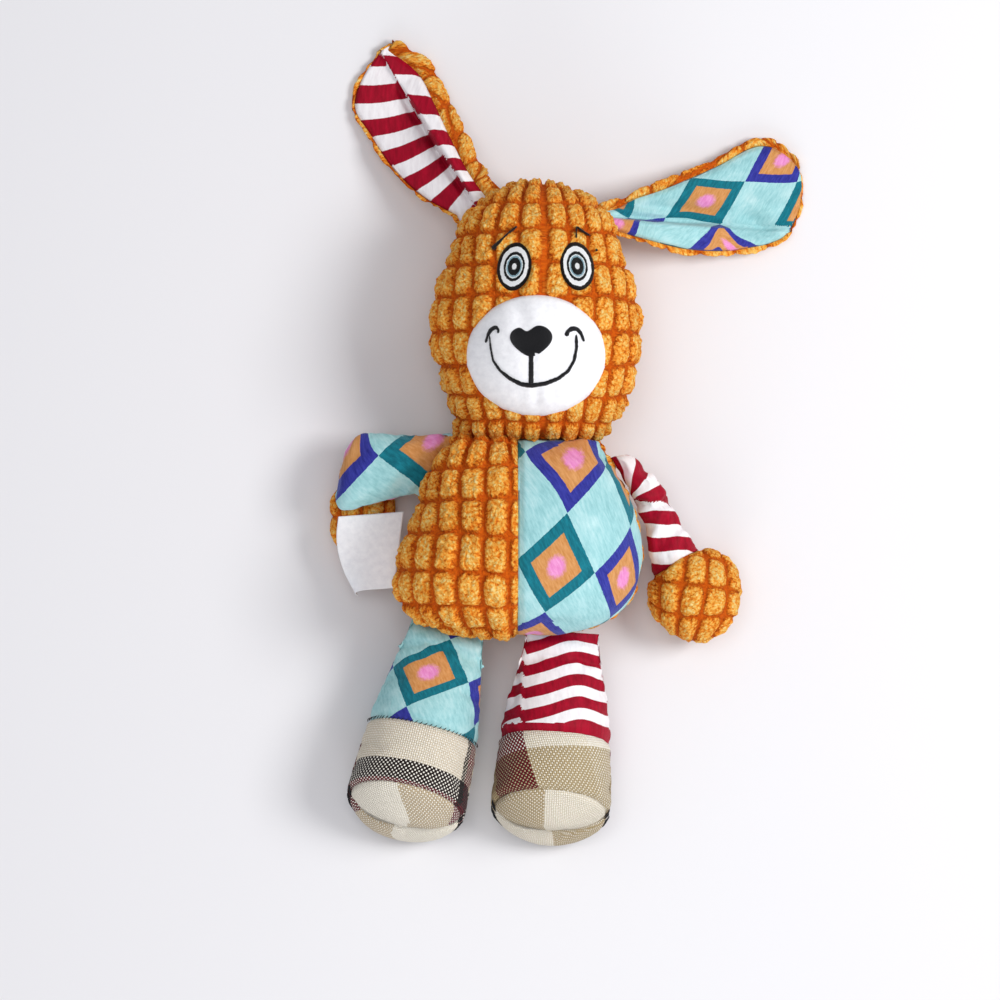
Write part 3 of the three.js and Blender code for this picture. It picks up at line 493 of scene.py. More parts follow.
class Sewing:
    """Makes mesh objects from grids of points."""

    torn = 0.18

    @staticmethod
    def build(name: str, points: list, faces: list, uvs: list, material: bpy.types.Material) -> bpy.types.Object:
        """A smooth mesh object with its cloth coordinates.

        Args:
            name: the piece's name.
            points: vertices in mm.
            faces: vertex indices of each face.
            uvs: for each face, the cloth coordinates of its corners.
            material: the piece's finish.

        Returns:
            The new object, at the origin.
        """
        mesh = bpy.data.meshes.new(name)
        mesh.from_pydata((np.asarray(points) * MM).tolist(), [], faces)
        layer = mesh.uv_layers.new(name=CLOTH)
        layer.data.foreach_set("uv", np.array([c for face in uvs for c in face], np.float32).ravel())
        mesh.materials.append(material)
        face_out(mesh)
        mesh.polygons.foreach_set("use_smooth", [True] * len(mesh.polygons))
        mesh.update()
        return linked(name, mesh)

    @classmethod
    def shell(cls, name: str, outer: np.ndarray, inner: np.ndarray, uv: np.ndarray, material: bpy.types.Material,
              wrap: bool = False, poles: tuple[bool, bool] = (False, False),
              repeat: Point | None = None) -> bpy.types.Object:
        """A closed skin of fabric: a fine outer grid, a coarser inner one, and the folded edges between them.

        Args:
            name: the piece's name.
            outer: the outer grid, by row and column; when it wraps, its last column is its first again.
            inner: the inner grid, which takes every so many rows and columns of the outer one.
            uv: the cloth coordinates of the outer grid.
            material: the piece's finish.
            wrap: whether the grid closes on itself.
            poles: whether the first and the last ring close in a point.
            repeat: how far on the pattern comes again each way, which keeps a jump in it within one face.

        Returns:
            The new object.
        """
        rows, cols = outer.shape[:2]
        step = (rows - 1) // (inner.shape[0] - 1)
        ring, small = (grid.shape[1] - 1 if wrap else grid.shape[1] for grid in (outer, inner))
        points = list(outer[:, :ring].reshape(-1, 3)) + list(inner[:, :small].reshape(-1, 3))
        flat = uv.reshape(-1, 2)

        def out(r: Index, c: Index) -> Index:
            """Vertex of the outer grid."""
            return r * ring + c % ring

        def inside(r: int, c: int) -> int:
            """Vertex of the inner grid."""
            return rows * ring + r * small + c % small

        def at(r: Index, c: Index) -> np.ndarray:
            """Cloth coordinates of an outer place."""
            return flat[r * cols + c]

        r, c = (t.ravel() for t in np.meshgrid(np.arange(rows - 1), np.arange(cols - 1), indexing="ij"))
        corners = [(r, c), (r, c + 1), (r + 1, c + 1), (r + 1, c)]
        faces: list = np.stack([out(a, b) for a, b in corners], axis=1).tolist()
        quads = np.stack([at(a, b) for a, b in corners], axis=1)
        if repeat:
            quads = quads - np.round((quads - quads[:, :1]) / repeat) * repeat
            jump = (np.abs(quads - quads[:, :1]) > cls.torn) & (np.array(repeat) < NEVER)
            quads = np.where(jump.any(axis=2, keepdims=True), quads[:, :1], quads)
        uvs: list = quads.tolist()
        for i in range(inner.shape[0] - 1):
            for j in range(inner.shape[1] - 1):
                quad = [(i, j), (i, j + 1), (i + 1, j + 1), (i + 1, j)]
                faces.append([inside(a, b) for a, b in quad][::-1])
                uvs.append([at(a * step, b * step) for a, b in quad][::-1])

        def edge(path: list[tuple[int, int]], back: list[tuple[int, int]]) -> None:
            """Joins a stretch of the outer edge to the inner one."""
            faces.append([out(*p) for p in path] + [inside(*p) for p in back[::-1]])
            uvs.append([at(*p) for p in path] + [at(p[0] * step, p[1] * step) for p in back[::-1]])

        for pole, row, low in ((poles[0], 0, 0), (poles[1], rows - 1, inner.shape[0] - 1)):
            if pole:
                middle = flat.reshape(rows, cols, 2)[row].mean(axis=0)
                for grid, where, line, width, scale in ((outer, out, row, ring, 1), (inner, inside, low, small, step)):
                    points.append(grid[line, :width].mean(axis=0))
                    for j in range(grid.shape[1] - 1):
                        faces.append([where(line, j), where(line, j + 1), len(points) - 1])
                        uvs.append([at(row, j * scale), at(row, (j + 1) * scale), middle])
            else:
                for j in range(inner.shape[1] - 1):
                    edge([(row, c) for c in range(j * step, (j + 1) * step + 1)], [(low, j), (low, j + 1)])
        if not wrap:
            for column, low in ((0, 0), (cols - 1, inner.shape[1] - 1)):
                for i in range(inner.shape[0] - 1):
                    edge([(r, column) for r in range(i * step, (i + 1) * step + 1)], [(i, low), (i + 1, low)])
        return cls.build(name, points, faces, uvs, material)

    @classmethod
    def patch(cls, name: str, top: np.ndarray, base: np.ndarray, uv: np.ndarray,
              material: bpy.types.Material) -> bpy.types.Object:
        """A closed round patch: rings from its middle to its edge, with an underside.

        Args:
            name: the piece's name.
            top: its upper points by ring and step, the last step being the first again.
            base: the points of its underside, the same way.
            uv: the cloth coordinates.
            material: the piece's finish.

        Returns:
            The new object.
        """
        rows, ring = top.shape[0], top.shape[1] - 1
        points = list(top[:, :ring].reshape(-1, 3)) + list(base[:, :ring].reshape(-1, 3))
        count = rows * ring
        points += [top[0, :ring].mean(axis=0), base[0, :ring].mean(axis=0)]
        middle = uv[0].mean(axis=0)
        faces, uvs = [], []
        for j in range(ring):
            k = (j + 1) % ring
            for i in range(rows - 1):
                quad = [(i, j), (i, j + 1), (i + 1, j + 1), (i + 1, j)]
                ids = [a * ring + b % ring for a, b in quad]
                corners = [uv[a, b] for a, b in quad]
                faces += [ids, [count + v for v in ids][::-1]]
                uvs += [corners, corners[::-1]]
            last = (rows - 1) * ring
            faces.append([last + j, last + k, count + last + k, count + last + j])
            uvs.append([uv[-1, j], uv[-1, j + 1], uv[-1, j + 1], uv[-1, j]])
            faces += [[j, k, 2 * count], [count + k, count + j, 2 * count + 1]]
            uvs += [[uv[0, j], uv[0, j + 1], middle], [uv[0, j + 1], uv[0, j], middle]]
        return cls.build(name, points, faces, uvs, material)


@dataclass(frozen=True)
class Stuffing:
    """Blows a form up as a bag of cloth that is held at its side seams, so that it swells and gathers."""

    rows: int = 44
    cols: int = 64
    inset: float = 1.5
    cap: float = 3.5
    loose: float = 0.05
    pressure: float = 4.0
    frames: int = 20
    scale: float = 100.0

    def bag(self, form: Form, places: np.ndarray) -> tuple[bpy.types.Object, np.ndarray]:
        """The bag before it is blown up, at a tenth of a metre for each ten mm.

        Args:
            form: the stuffed form.
            places: where its rings are.

        Returns:
            The bag and its points in mm, by ring and by angle.
        """
        cols, rows = self.cols, self.rows
        angles = np.linspace(0, FULL, cols + 1)[:-1]
        start = form.to_world(np.array([form.ring(a, angles, -self.inset) for a in places]))
        points = (start / self.scale).reshape(-1, 3).tolist()
        faces = [[a * cols + b % cols for a, b in ((r, c), (r, c + 1), (r + 1, c + 1), (r + 1, c))]
                 for r in range(rows) for c in range(cols)]
        for row in (0, rows):
            points.append((start[row].mean(axis=0) / self.scale).tolist())
            faces += [[row * cols + c, row * cols + (c + 1) % cols, len(points) - 1] for c in range(cols)]
        mesh = bpy.data.meshes.new("bag")
        mesh.from_pydata(points, [], faces)
        face_out(mesh)
        bag = linked("bag", mesh)
        held = [r * cols + c for r in range(rows + 1) for c in (0, cols // 2)]
        held += [*range(cols * 2), *range(cols * rows, cols * (rows + 1) + 2)]
        bag.vertex_groups.new(name="seams").add(held, 1.0, "REPLACE")
        return bag, start

    def blow(self, bag: bpy.types.Object) -> np.ndarray:
        """Runs the cloth simulation and gives the bag's points afterwards, in mm, by ring and by angle."""
        scene = bpy.context.scene
        cloth = bag.modifiers.new("cloth", "CLOTH")
        cloth.point_cache.frame_start, cloth.point_cache.frame_end = 1, self.frames
        s = cloth.settings
        s.quality, s.mass, s.air_damping = 5, 0.3, 2.0
        s.tension_stiffness = s.compression_stiffness = 15.0
        s.shear_stiffness, s.bending_stiffness = 5.0, 0.1
        s.use_pressure, s.uniform_pressure_force = True, self.pressure
        s.shrink_min = -self.loose
        s.vertex_group_mass = "seams"
        s.effector_weights.gravity = 0.0
        cloth.collision_settings.use_collision = False
        for frame in range(1, self.frames + 1):
            scene.frame_set(frame)
        view = bag.evaluated_get(bpy.context.evaluated_depsgraph_get())
        found = np.empty(len(view.data.vertices) * 3)
        view.data.vertices.foreach_get("co", found)
        scene.frame_set(1)
        bpy.data.objects.remove(bag)
        rings = found.reshape(-1, 3)[: self.cols * (self.rows + 1)]
        return rings.reshape(self.rows + 1, self.cols, 3) * self.scale

    def fill(self, form: Form, first: float, last: float) -> None:
        """Gives a form the swelling of its bag.

        Args:
            form: the stuffed form, which keeps the swelling.
            first: the bag's first place along the form.
            last: its last place.
        """
        places = form.places(first, last, self.rows)
        bag, start = self.bag(form, places)
        shift = self.blow(bag) - start
        size = np.linalg.norm(shift, axis=2, keepdims=True)
        shift = shift * np.minimum(1, self.cap / np.maximum(size, 1e-6))
        shift = np.concatenate([shift, shift[:, :1]], axis=1)
        for axis in (0, 1):
            count = shift.shape[axis] - 1
            fine = np.linspace(0, count, count * 4 + 1)
            low = np.minimum(fine.astype(int), count - 1)
            share = (fine - low).reshape((-1, 1, 1) if axis == 0 else (1, -1, 1))
            shift = shift.take(low, axis) * (1 - share) + shift.take(low + 1, axis) * share
        for _ in range(5):
            ring = np.concatenate([shift[:, -2:-1], shift, shift[:, 1:2]], axis=1)
            shift = (ring[:, :-2] + 2 * ring[:, 1:-1] + ring[:, 2:]) / 4
            shift[1:-1] = (shift[:-2] + 2 * shift[1:-1] + shift[2:]) / 4
        form.swelling = Swelling(places, shift)
        LOG.info("blown up by up to %.1f mm, %.1f mm at the middle", float(size.max()), float(np.median(size)))


# ---- finishes ----------------------------------------------------------------------------------------------------


class Graph:
    """Short ways to add nodes to a material."""

    def __init__(self, name: str) -> None:
        """Starts a material with an empty tree and its shader."""
        self.material = bpy.data.materials.new(name)
        self.material.use_nodes = True
        self.tree = self.material.node_tree
        self.tree.nodes.clear()
        self.shader = self.tree.nodes.new("ShaderNodeBsdfPrincipled")
        self.tree.links.new(self.shader.outputs[0], self.tree.nodes.new("ShaderNodeOutputMaterial").inputs[0])

    def put(self, socket: bpy.types.NodeSocket, value: object) -> None:
        """Links an output to a socket, or sets the socket's value."""
        if isinstance(value, bpy.types.NodeSocket):
            self.tree.links.new(value, socket)
        else:
            socket.default_value = value

    def node(self, kind: str, **inputs: object) -> bpy.types.Node:
        """A node with values or links on its inputs, named with underscores for spaces."""
        made = self.tree.nodes.new(f"ShaderNode{kind}")
        for name, value in inputs.items():
            self.put(made.inputs[name.replace("_", " ")], value)
        return made

    def math(self, operation: str, *values: object) -> bpy.types.NodeSocket:
        """The result of a math node."""
        made = self.node("Math")
        made.operation = operation
        for socket, value in zip(made.inputs, values):
            self.put(socket, value)
        return made.outputs[0]

    def step(self, low: float, high: float, value: object) -> bpy.types.NodeSocket:
        """A soft step of a value from 0 at low to 1 at high."""
        made = self.node("MapRange", Value=value, From_Min=low, From_Max=high)
        made.interpolation_type = "SMOOTHSTEP"
        return made.outputs[0]

    def mix(self, share: object, first: object, second: object, blend: str = "MIX") -> bpy.types.NodeSocket:
        """One colour or the other by a share, or their product."""
        made = self.node("Mix")
        made.data_type, made.blend_type = "RGBA", blend
        for index, value in ((0, share), (6, first), (7, second)):
            self.put(made.inputs[index], value)
        return made.outputs[2]

    def cloth(self) -> tuple[bpy.types.NodeSocket, bpy.types.NodeSocket, bpy.types.NodeSocket]:
        """The piece's cloth coordinates, whole and by axis."""
        uv = self.node("UVMap")
        uv.uv_map = CLOTH
        parts = self.node("SeparateXYZ", Vector=uv.outputs[0])
        return uv.outputs[0], parts.outputs[0], parts.outputs[1]

    def scaled(self, vector: object, x: float, y: float) -> bpy.types.NodeSocket:
        """Coordinates multiplied along each axis."""
        return self.node("Mapping", Vector=vector, Scale=(x, y, 1)).outputs[0]

    def noise(self, vector: object, scale: float, detail: float = 2.0, rough: float = 0.5) -> bpy.types.NodeSocket:
        """Noise from 0 to 1."""
        return self.node("TexNoise", Vector=vector, Scale=scale, Detail=detail, Roughness=rough).outputs[0]

    def sway(self, vector: object, width: float, scale: float, *rest: float) -> bpy.types.NodeSocket:
        """Noise about 0, as wide as it is told."""
        return self.math("MULTIPLY_ADD", self.noise(vector, scale, *rest), width, -width / 2)

    def off_middle(self, count: object) -> bpy.types.NodeSocket:
        """How far a count is from the middle of its cell."""
        return self.math("ABSOLUTE", self.math("SUBTRACT", self.math("FRACT", count), 0.5))

    def strand(self, count: object, rate: float) -> bpy.types.NodeSocket:
        """The rounded height of threads that lie side by side."""
        return self.math("ABSOLUTE", self.math("SINE", self.math("MULTIPLY", count, rate)))

    def ramp(self, value: object, stops: Stops, hard: bool = False) -> bpy.types.NodeSocket:
        """Colours along a value, mixed between the stops or changing at each."""
        made = self.node("ValToRGB", Fac=value)
        line = made.color_ramp
        line.interpolation = "CONSTANT" if hard else "LINEAR"
        while len(line.elements) < len(stops):
            line.elements.new(0.5)
        for element, (place, code) in zip(line.elements, stops):
            element.position = place
            element.color = linear(code)
        return made.outputs[0]

    def shades(self, value: object, dark: str, light: str, low: float = 0.3, high: float = 0.7) -> bpy.types.NodeSocket:
        """Two shades of one colour by a value."""
        return self.ramp(value, ((low, dark), (high, light)))

    def bump(self, height: object, distance: float, strength: float = 1.0) -> None:
        """Raises the surface by a height, in metres."""
        made = self.node("Bump", Height=height, Strength=strength, Distance=distance)
        self.put(self.shader.inputs["Normal"], made.outputs[0])

    def finish(self, colour: object, roughness: object, sheen: float = 0.0, tint: str = "ffffff") -> None:
        """Sets the shader's colour, roughness and sheen."""
        for name, value in (("Base Color", colour), ("Roughness", roughness), ("Sheen Weight", sheen),
                            ("Sheen Roughness", 0.45), ("Sheen Tint", linear(tint)), ("Specular IOR Level", 0.14)):
            self.put(self.shader.inputs[name], value)


@dataclass(frozen=True)
class Corduroy:
    """Block corduroy: fleecy tufts over a redder ground. Its cloth coordinates count columns and rows."""

    column: float = 11.5
    row: float = 16.0
    half: Point = (0.462, 0.492)
    power: Point = (3.4, 5.0)
    # fleece colours run from pale curl tips to dark curl hollows: the golden orange is the pile's own, the pale end is
    # painted highlight and the dark end painted shade
    fleece_with_painted_curl_light: Stops = ((0.38, "ffe39a"), (0.52, "ffc862"), (0.65, "fba43a"), (0.78, "e87a18"), (0.93, "aa4406"))

    def make(self) -> bpy.types.Material:
        """Builds the material."""
        g = Graph("block_corduroy")
        uv, *counts = g.cloth()
        real = g.scaled(uv, self.column, self.row)
        wave = g.sway(real, 0.34, 0.6, 3, 0.6)
        a, b = (g.math("POWER", g.math("DIVIDE", g.off_middle(count), half), power)
                for count, half, power in zip(counts, self.half, self.power))
        edge = g.math("ADD", g.math("POWER", g.math("ADD", a, b), 0.25), wave)
        pile = g.step(1.02, 0.86, edge)
        bent = g.node("VectorMath", Vector=real)
        swirl = g.node("TexNoise", Vector=real, Scale=0.7, Detail=2.0)
        g.put(bent.inputs[1], swirl.outputs["Color"])
        curls = g.node("TexVoronoi", Vector=bent.outputs[0], Scale=0.62).outputs["Distance"]
        fine = g.noise(bent.outputs[0], 1.25, 3, 0.6)
        # curl sets the bump and also the colour: painted shade in the hollows between curls, painted highlight on their
        # tips
        curl = g.math("ADD", g.math("MULTIPLY", fine, 0.8), g.math("MULTIPLY", curls, 0.4))
        light = g.math("ADD", curl, g.sway(real, 0.34, 0.07, 2, 0.5))
        # painted shade at each tuft's rim, where the pile drops to the ground
        light = g.math("ADD", light, g.math("MULTIPLY", g.step(0.55, 1.0, edge), 0.16))
        fleece_with_painted_curl_light = g.ramp(light, self.fleece_with_painted_curl_light)
        ground = g.shades(g.noise(real, 0.7, 4, 0.6), "c54a08", "ea7012")
        g.bump(g.math("SUBTRACT", g.math("MULTIPLY", pile, 0.7), g.math("MULTIPLY", curl, 1.6)), 0.0012)
        g.finish(g.mix(pile, ground, fleece_with_painted_curl_light), 0.97)
        return g.material


@dataclass(frozen=True)
class DiamondPrint:
    """Printed velour with nested diamonds. Its cloth coordinates count diamonds along their two sides."""

    cell: float = 28.0
    ring: float = 0.64
    ground: Stops = ((0.3, "7ab2b6"), (0.52, "9fd0d3"), (0.75, "c6e6e7"))

    def make(self) -> bpy.types.Material:
        """Builds the material."""
        g = Graph("diamond_print")
        uv, x, y = g.cloth()
        real = g.scaled(uv, self.cell, self.cell)
        wobble = g.sway(real, 0.03, 0.5, 3, 0.6)
        s, t = g.math("ADD", x, wobble), g.math("SUBTRACT", y, wobble)
        i, j = g.math("ROUND", s), g.math("ROUND", t)
        ds, dt = (g.math("ABSOLUTE", g.math("SUBTRACT", a, b)) for a, b in ((s, i), (t, j)))
        reach = g.math("MULTIPLY", g.math("MAXIMUM", ds, dt), 2.0)
        round_reach = g.math("SQRT", g.math("ADD", g.math("POWER", ds, 2.0), g.math("POWER", dt, 2.0)))
        plain = g.math("PINGPONG", g.math("ADD", i, j), 1.0)
        odd = g.math("PINGPONG", i, 1.0)
        brush = g.noise(g.scaled(real, 1.0, 0.22), 0.9, 4, 0.65)
        cloud = g.math("MULTIPLY", g.noise(real, 0.07, 3, 0.55), 0.5)
        ground = g.ramp(g.math("MULTIPLY_ADD", brush, 0.55, cloud), self.ground)
        blue, teal, orange, pink = (g.shades(brush, dark, light) for dark, light in (
            ("22247c", "3e42a6"), ("0a5a69", "187f8f"), ("bd7b3c", "daa066"), ("d873b4", "eda3d3")))
        middle = g.math("ADD", round_reach, g.sway(real, 0.1, 0.8))
        inside = g.mix(g.step(0.2, 0.1, middle), orange, pink)
        whole = g.mix(g.step(self.ring - 0.01, self.ring + 0.01, reach), inside, g.mix(odd, teal, blue))
        g.bump(g.noise(g.scaled(real, 1.0, 0.5), 2.2, 3, 0.7), 0.0005, 0.55)
        g.finish(g.mix(plain, whole, ground), 0.8, 0.15, "e6ffff")
        return g.material


@dataclass(frozen=True)
class Stripes:
    """Striped velboa. Its first cloth coordinate is in mm and its second counts stripes."""

    period: float = 12.0

    def make(self) -> bpy.types.Material:
        """Builds the material."""
        g = Graph("striped_velboa")
        uv, _, y = g.cloth()
        real = g.scaled(uv, 1.0, self.period)
        place = g.math("FRACT", g.math("ADD", y, g.sway(real, 0.03, 0.8, 3, 0.6)))
        red = g.math("MULTIPLY", g.step(0.02, 0.045, place), g.step(0.565, 0.54, place))
        soft = g.noise(g.scaled(real, 1.0, 0.3), 0.5, 4, 0.6)
        g.bump(g.noise(g.scaled(real, 1.0, 0.35), 2.4, 3, 0.65), 0.0004, 0.4)
        white, crimson = g.shades(soft, "e8e2e4", "f8f5f6"), g.shades(soft, "84001b", "ac0429")
        g.finish(g.mix(red, white, crimson), 0.6, 0.02, "ff9fc0")
        return g.material


@dataclass(frozen=True)
class PlaidCanvas:
    """Coarse plain-woven plaid. Its cloth coordinates count threads from a panel's middle.

    The warp's colours run from the panel's left to its right and the weft's from its bottom to its top.
    """

    name: str
    warp: Stops
    weft: Stops
    pitch: float = 1.02
    span: float = 80.0
    arch: float = 2.7

    def bands(self, g: Graph, thread: object, stops: Stops) -> bpy.types.NodeSocket:
        """The colour of a thread from its number and the threads at which each colour starts."""
        share = g.math("DIVIDE", g.math("ADD", thread, self.span / 2 + 0.5), self.span)
        return g.ramp(share, tuple((max((at + self.span / 2) / self.span, 0.0), code) for at, code in stops), True)

    def make(self) -> bpy.types.Material:
        """Builds the material."""
        g = Graph(self.name)
        uv, *counts = g.cloth()
        real = g.scaled(uv, self.pitch, self.pitch)
        sway = g.sway(real, 0.8, 0.2, 2)
        u, v = (g.math("ADD", count, sway) for count in counts)
        i, j = g.math("FLOOR", u), g.math("FLOOR", v)
        over = g.math("PINGPONG", g.math("ADD", i, j), 1.0)
        warp, weft = self.bands(g, i, self.warp), self.bands(g, j, self.weft)
        arches = (g.math("SUBTRACT", g.math("FRACT", count), 0.5) for count in (u, v))
        height = g.math("MULTIPLY", *(g.math("COSINE", g.math("MULTIPLY", arch, self.arch)) for arch in arches))
        # painted shade: the weave darkens where the threads dip between crossings; the fibre noise is the yarn's own
        # tone
        shade = g.math("MULTIPLY_ADD", g.step(0.0, 0.55, height), 0.22, 0.8)
        gap_shade_and_fibre = g.math("MULTIPLY", shade, g.math("MULTIPLY_ADD", g.noise(real, 3.0, 3, 0.7), 0.24, 0.88))
        gap_shade_grey = g.node("CombineColor", Red=gap_shade_and_fibre, Green=gap_shade_and_fibre, Blue=gap_shade_and_fibre).outputs[0]
        # painted shade in the gaps: there the two thread colours are multiplied, which darkens them
        gap_shade_blend = g.mix(1.0, warp, weft, "MULTIPLY")
        woven = g.mix(g.step(0.38, 0.62, height), gap_shade_blend, g.mix(over, warp, weft))
        g.bump(height, 0.0006)
        g.finish(g.mix(1.0, woven, gap_shade_grey, "MULTIPLY"), 0.9, 0.1)
        return g.material


@dataclass(frozen=True)
class Velour:
    """Plain short pile in one colour. Its cloth coordinates are in mm."""

    name: str
    dark: str
    light: str
    roughness: float = 0.85
    sheen: float = 0.2
    grain: float = 2.0

    def make(self) -> bpy.types.Material:
        """Builds the material."""
        g = Graph(self.name)
        uv, _, _ = g.cloth()
        g.bump(g.noise(uv, self.grain, 3, 0.7), 0.0004, 0.45)
        g.finish(g.shades(g.noise(uv, 0.35, 4, 0.6), self.dark, self.light), self.roughness, self.sheen)
        return g.material


@dataclass(frozen=True)
class Thread:
    """Satin-stitched embroidery. Its first cloth coordinate runs across the stitches, in mm."""

    name: str
    # light is a painted sheen on the stitch crests; dark is the black thread with painted shade between stitches
    dark: str
    light: str
    stitch: float = 0.45

    def make(self) -> bpy.types.Material:
        """Builds the material."""
        g = Graph(self.name)
        uv, x, _ = g.cloth()
        row = g.math("ADD", g.math("DIVIDE", x, self.stitch), g.math("MULTIPLY", g.noise(uv, 0.8, 2), 0.7))
        strand = g.strand(row, math.pi)
        g.bump(strand, 0.0003, 0.8)
        # the colour follows the stitch height: painted sheen on each stitch's crest, painted shade between stitches
        g.finish(g.shades(strand, self.dark, self.light, 0.1, 0.9), 0.5, 0.1)
        return g.material


@dataclass(frozen=True)
class EyeThreads:
    """The stitched rings of an eye. Its first cloth coordinate is the distance from the middle, as a share."""

    rings: Stops = ((0.0, "f4f6f6"), (0.13, "0b0c0e"), (0.37, "8fb2bf"), (0.44, "e9f0f2"), (0.485, "0b0c0e"),
                    (0.61, "f0f2f3"), (0.82, "0b0c0e"))

    def make(self) -> bpy.types.Material:
        """Builds the material."""
        g = Graph("eye_threads")
        uv, x, y = g.cloth()
        place = g.math("ADD", x, g.sway(g.scaled(uv, 3.0, 1.6), 0.12, 2.6, 3, 0.75))
        g.bump(g.strand(y, 70.0), 0.00025, 0.7)
        g.finish(g.ramp(place, self.rings, True), 0.5, 0.1)
        return g.material


@dataclass(frozen=True)
class Plastic:
    """Moulded plastic with a faint grain, on Object coordinates."""

    name: str
    colour: str
    roughness: float

    def make(self) -> bpy.types.Material:
        """Builds the material."""
        g = Graph(self.name)
        place = g.node("TexCoord").outputs["Object"]
        g.bump(g.noise(place, 900.0, 3, 0.6), 0.00005, 0.3)
        g.finish(linear(self.colour), g.math("MULTIPLY_ADD", g.noise(place, 300.0, 2), 0.15, self.roughness - 0.07))
        return g.material


@dataclass(frozen=True)
class Fabric:
    """What a panel is cut from: its material, the name of a slot, which nothing reads, and its thickness in mm."""

    material: bpy.types.Material
    slot: str
    skin: float


class Wardrobe:
    """All the finishes, each made once."""

    def __init__(self) -> None:
        """Makes the materials."""
        self.corduroy = Fabric(Corduroy().make(), "corduroy", PILE_SKIN)
        self.print = Fabric(DiamondPrint().make(), "diamond_print", PRINT_SKIN)
        self.stripes = Fabric(Stripes().make(), "stripes", PRINT_SKIN)
        cream, beige, brown, maroon = "fbf6ea", "c0ad88", "1f130e", "6a0a1e"
        plaids = {
            "right_foot": (((-40, cream), (29, brown), (33, maroon)), ((-40, maroon), (-7, brown), (2, "eee4d2"))),
            "right_sole": (((-40, cream), (-3, "cbb99c"), (25, maroon)), ((-40, cream), (-14, cream))),
            "left_foot": (((-40, beige), (-34, "74091a"), (-10, "f2ead8"), (19, cream)),
                          ((-40, "8a1626"), (-23, "9c5a4c"), (-14, beige), (11, cream))),
            "left_sole": (((-40, beige), (-4, cream)), ((-40, cream), (-38, "f4ecdc"))),
        }
        self.plaids = {name: Fabric(PlaidCanvas(f"{name}_plaid", *threads).make(), "plaid_canvas", CANVAS_SKIN)
                       for name, threads in plaids.items()}
        self.velour = Velour("white_velour", "e9e9ec", "f8f8fa").make()
        # the lighter black is a painted sheen on the stitch crests
        self.black = Thread("black_thread", "050506", "1d1d20").make()
        self.eye = EyeThreads().make()
        self.satin = Velour("satin_tape", "ececf0", "fafafc", 0.45, 0.3, 3.0).make()
        self.fibre = Velour("white_fibre", "dcd8cf", "f4f1ea", 0.95, 0.3, 0.8).make()


# ---- fabric lays -------------------------------------------------------------------------------------------------


@dataclass(frozen=True)
class Blocks:
    """How the corduroy lies: where a column and a row start, seen from above, and the columns' and rows' pitch."""

    x: float
    y: float
    column: float = 11.6
    row: float = 16.0
    turn: float = 0.0
    bulge: float = 0.0
    gather: float = 0.0
    groove: float = 0.0

    def over(self, cloth: Cloth) -> np.ndarray:
        """Columns and rows over a piece of cloth; below its start they may gather, and one groove may be wide."""
        x, y = np.moveaxis(cloth.seen(self.x, self.y), -1, 0)
        x = x * (1 + self.gather * smooth(-18, -66, y))
        if self.bulge:
            width = np.abs(cloth.across).max(axis=1, keepdims=True)
            x = x * (width.max() / width) ** self.bulge
        x, y = spun(x, y, -self.turn)
        x = np.sign(x) * np.maximum(np.abs(x) - self.groove, 0)
        sway = Noise(17).at(x, y, 26) * 1.1
        return np.stack([(x + sway) / self.column, (y + sway * 1.4) / self.row], axis=-1)


@dataclass(frozen=True)
class Counted:
    """Corduroy laid straight along a piece from its middle."""

    column: float
    row: float

    def over(self, cloth: Cloth) -> np.ndarray:
        """Columns and rows over a piece of cloth."""
        return np.stack([cloth.across / self.column, cloth.along / self.row], axis=-1)


@dataclass(frozen=True)
class Tuck(Line):
    """A fold that takes some of a print in, and how far it shifts the print on each side, in mm.

    Past the line's end the print moves up by a share of the way, and at the fold's own wall it is moved up too.
    """

    above: float
    below: float
    wall: float = 0.0
    slant: float = 0.62

    def shift(self, points: np.ndarray) -> np.ndarray:
        """How far the print is moved to the right and up at each point."""
        far = self.left(points)
        t = np.clip((self.x1 - points[..., 0]) / (self.x1 - self.x0), 0, 1.2)
        over = smooth(-0.05, 0.05, far)
        up = self.above * smooth(0.25, 0.8, t) * over
        up = up + self.slant * np.maximum(points[..., 0] - self.x1, 0) * (1 - smooth(1.8, 3.0, far))
        up = up + self.wall * smooth(-0.02, 0.12, t) * (1 - smooth(-0.9, 0.9, far))
        return np.stack([self.below * smooth(0.35, 0.75, t) * (1 - over), up], axis=-1)


@dataclass(frozen=True)
class Diamonds:
    """How the diamonds lie: the middle of one, and the two sides of a diamond, seen from above in mm."""

    x: float
    y: float
    a: Point = (22.5, 18.7)
    b: Point = (12.0, -25.0)
    first: float = 0.0
    relax: float = 0.0
    pull: float = 0.0
    tuck: Tuck | None = None

    def over(self, cloth: Cloth) -> np.ndarray:
        """Steps along the diamonds' two sides; upward they may relax, and the upper left may be pulled inward."""
        x, y = np.moveaxis(cloth.seen(self.x, self.y), -1, 0)
        y = y / (1 + self.relax * np.maximum(y, 0))
        x = x + self.pull * smooth(20, -12, x) * smooth(26, 46, y)
        if self.tuck:
            x, y = np.moveaxis(np.stack([x, y], axis=-1) + self.tuck.shift(cloth.points), -1, 0)
        turn = self.a[0] * self.b[1] - self.a[1] * self.b[0]
        s = (x * self.b[1] - y * self.b[0]) / turn
        t = (y * self.a[0] - x * self.a[1]) / turn
        return np.stack([s + self.first, t + self.first], axis=-1)


@dataclass(frozen=True)
class Ridge(Line):
    """A lengthwise fold that shifts the stripes: how far they climb to its line and drop past it, in mm."""

    climb: float
    drop: float
    width: float

    def shift(self, points: np.ndarray) -> np.ndarray:
        """How far the stripes move at each point, in mm."""
        far = self.left(points)
        before = -self.climb * np.exp(np.minimum(far, 0) / self.width)
        return before + (self.climb + self.drop) * smooth(0, 1.6, far)


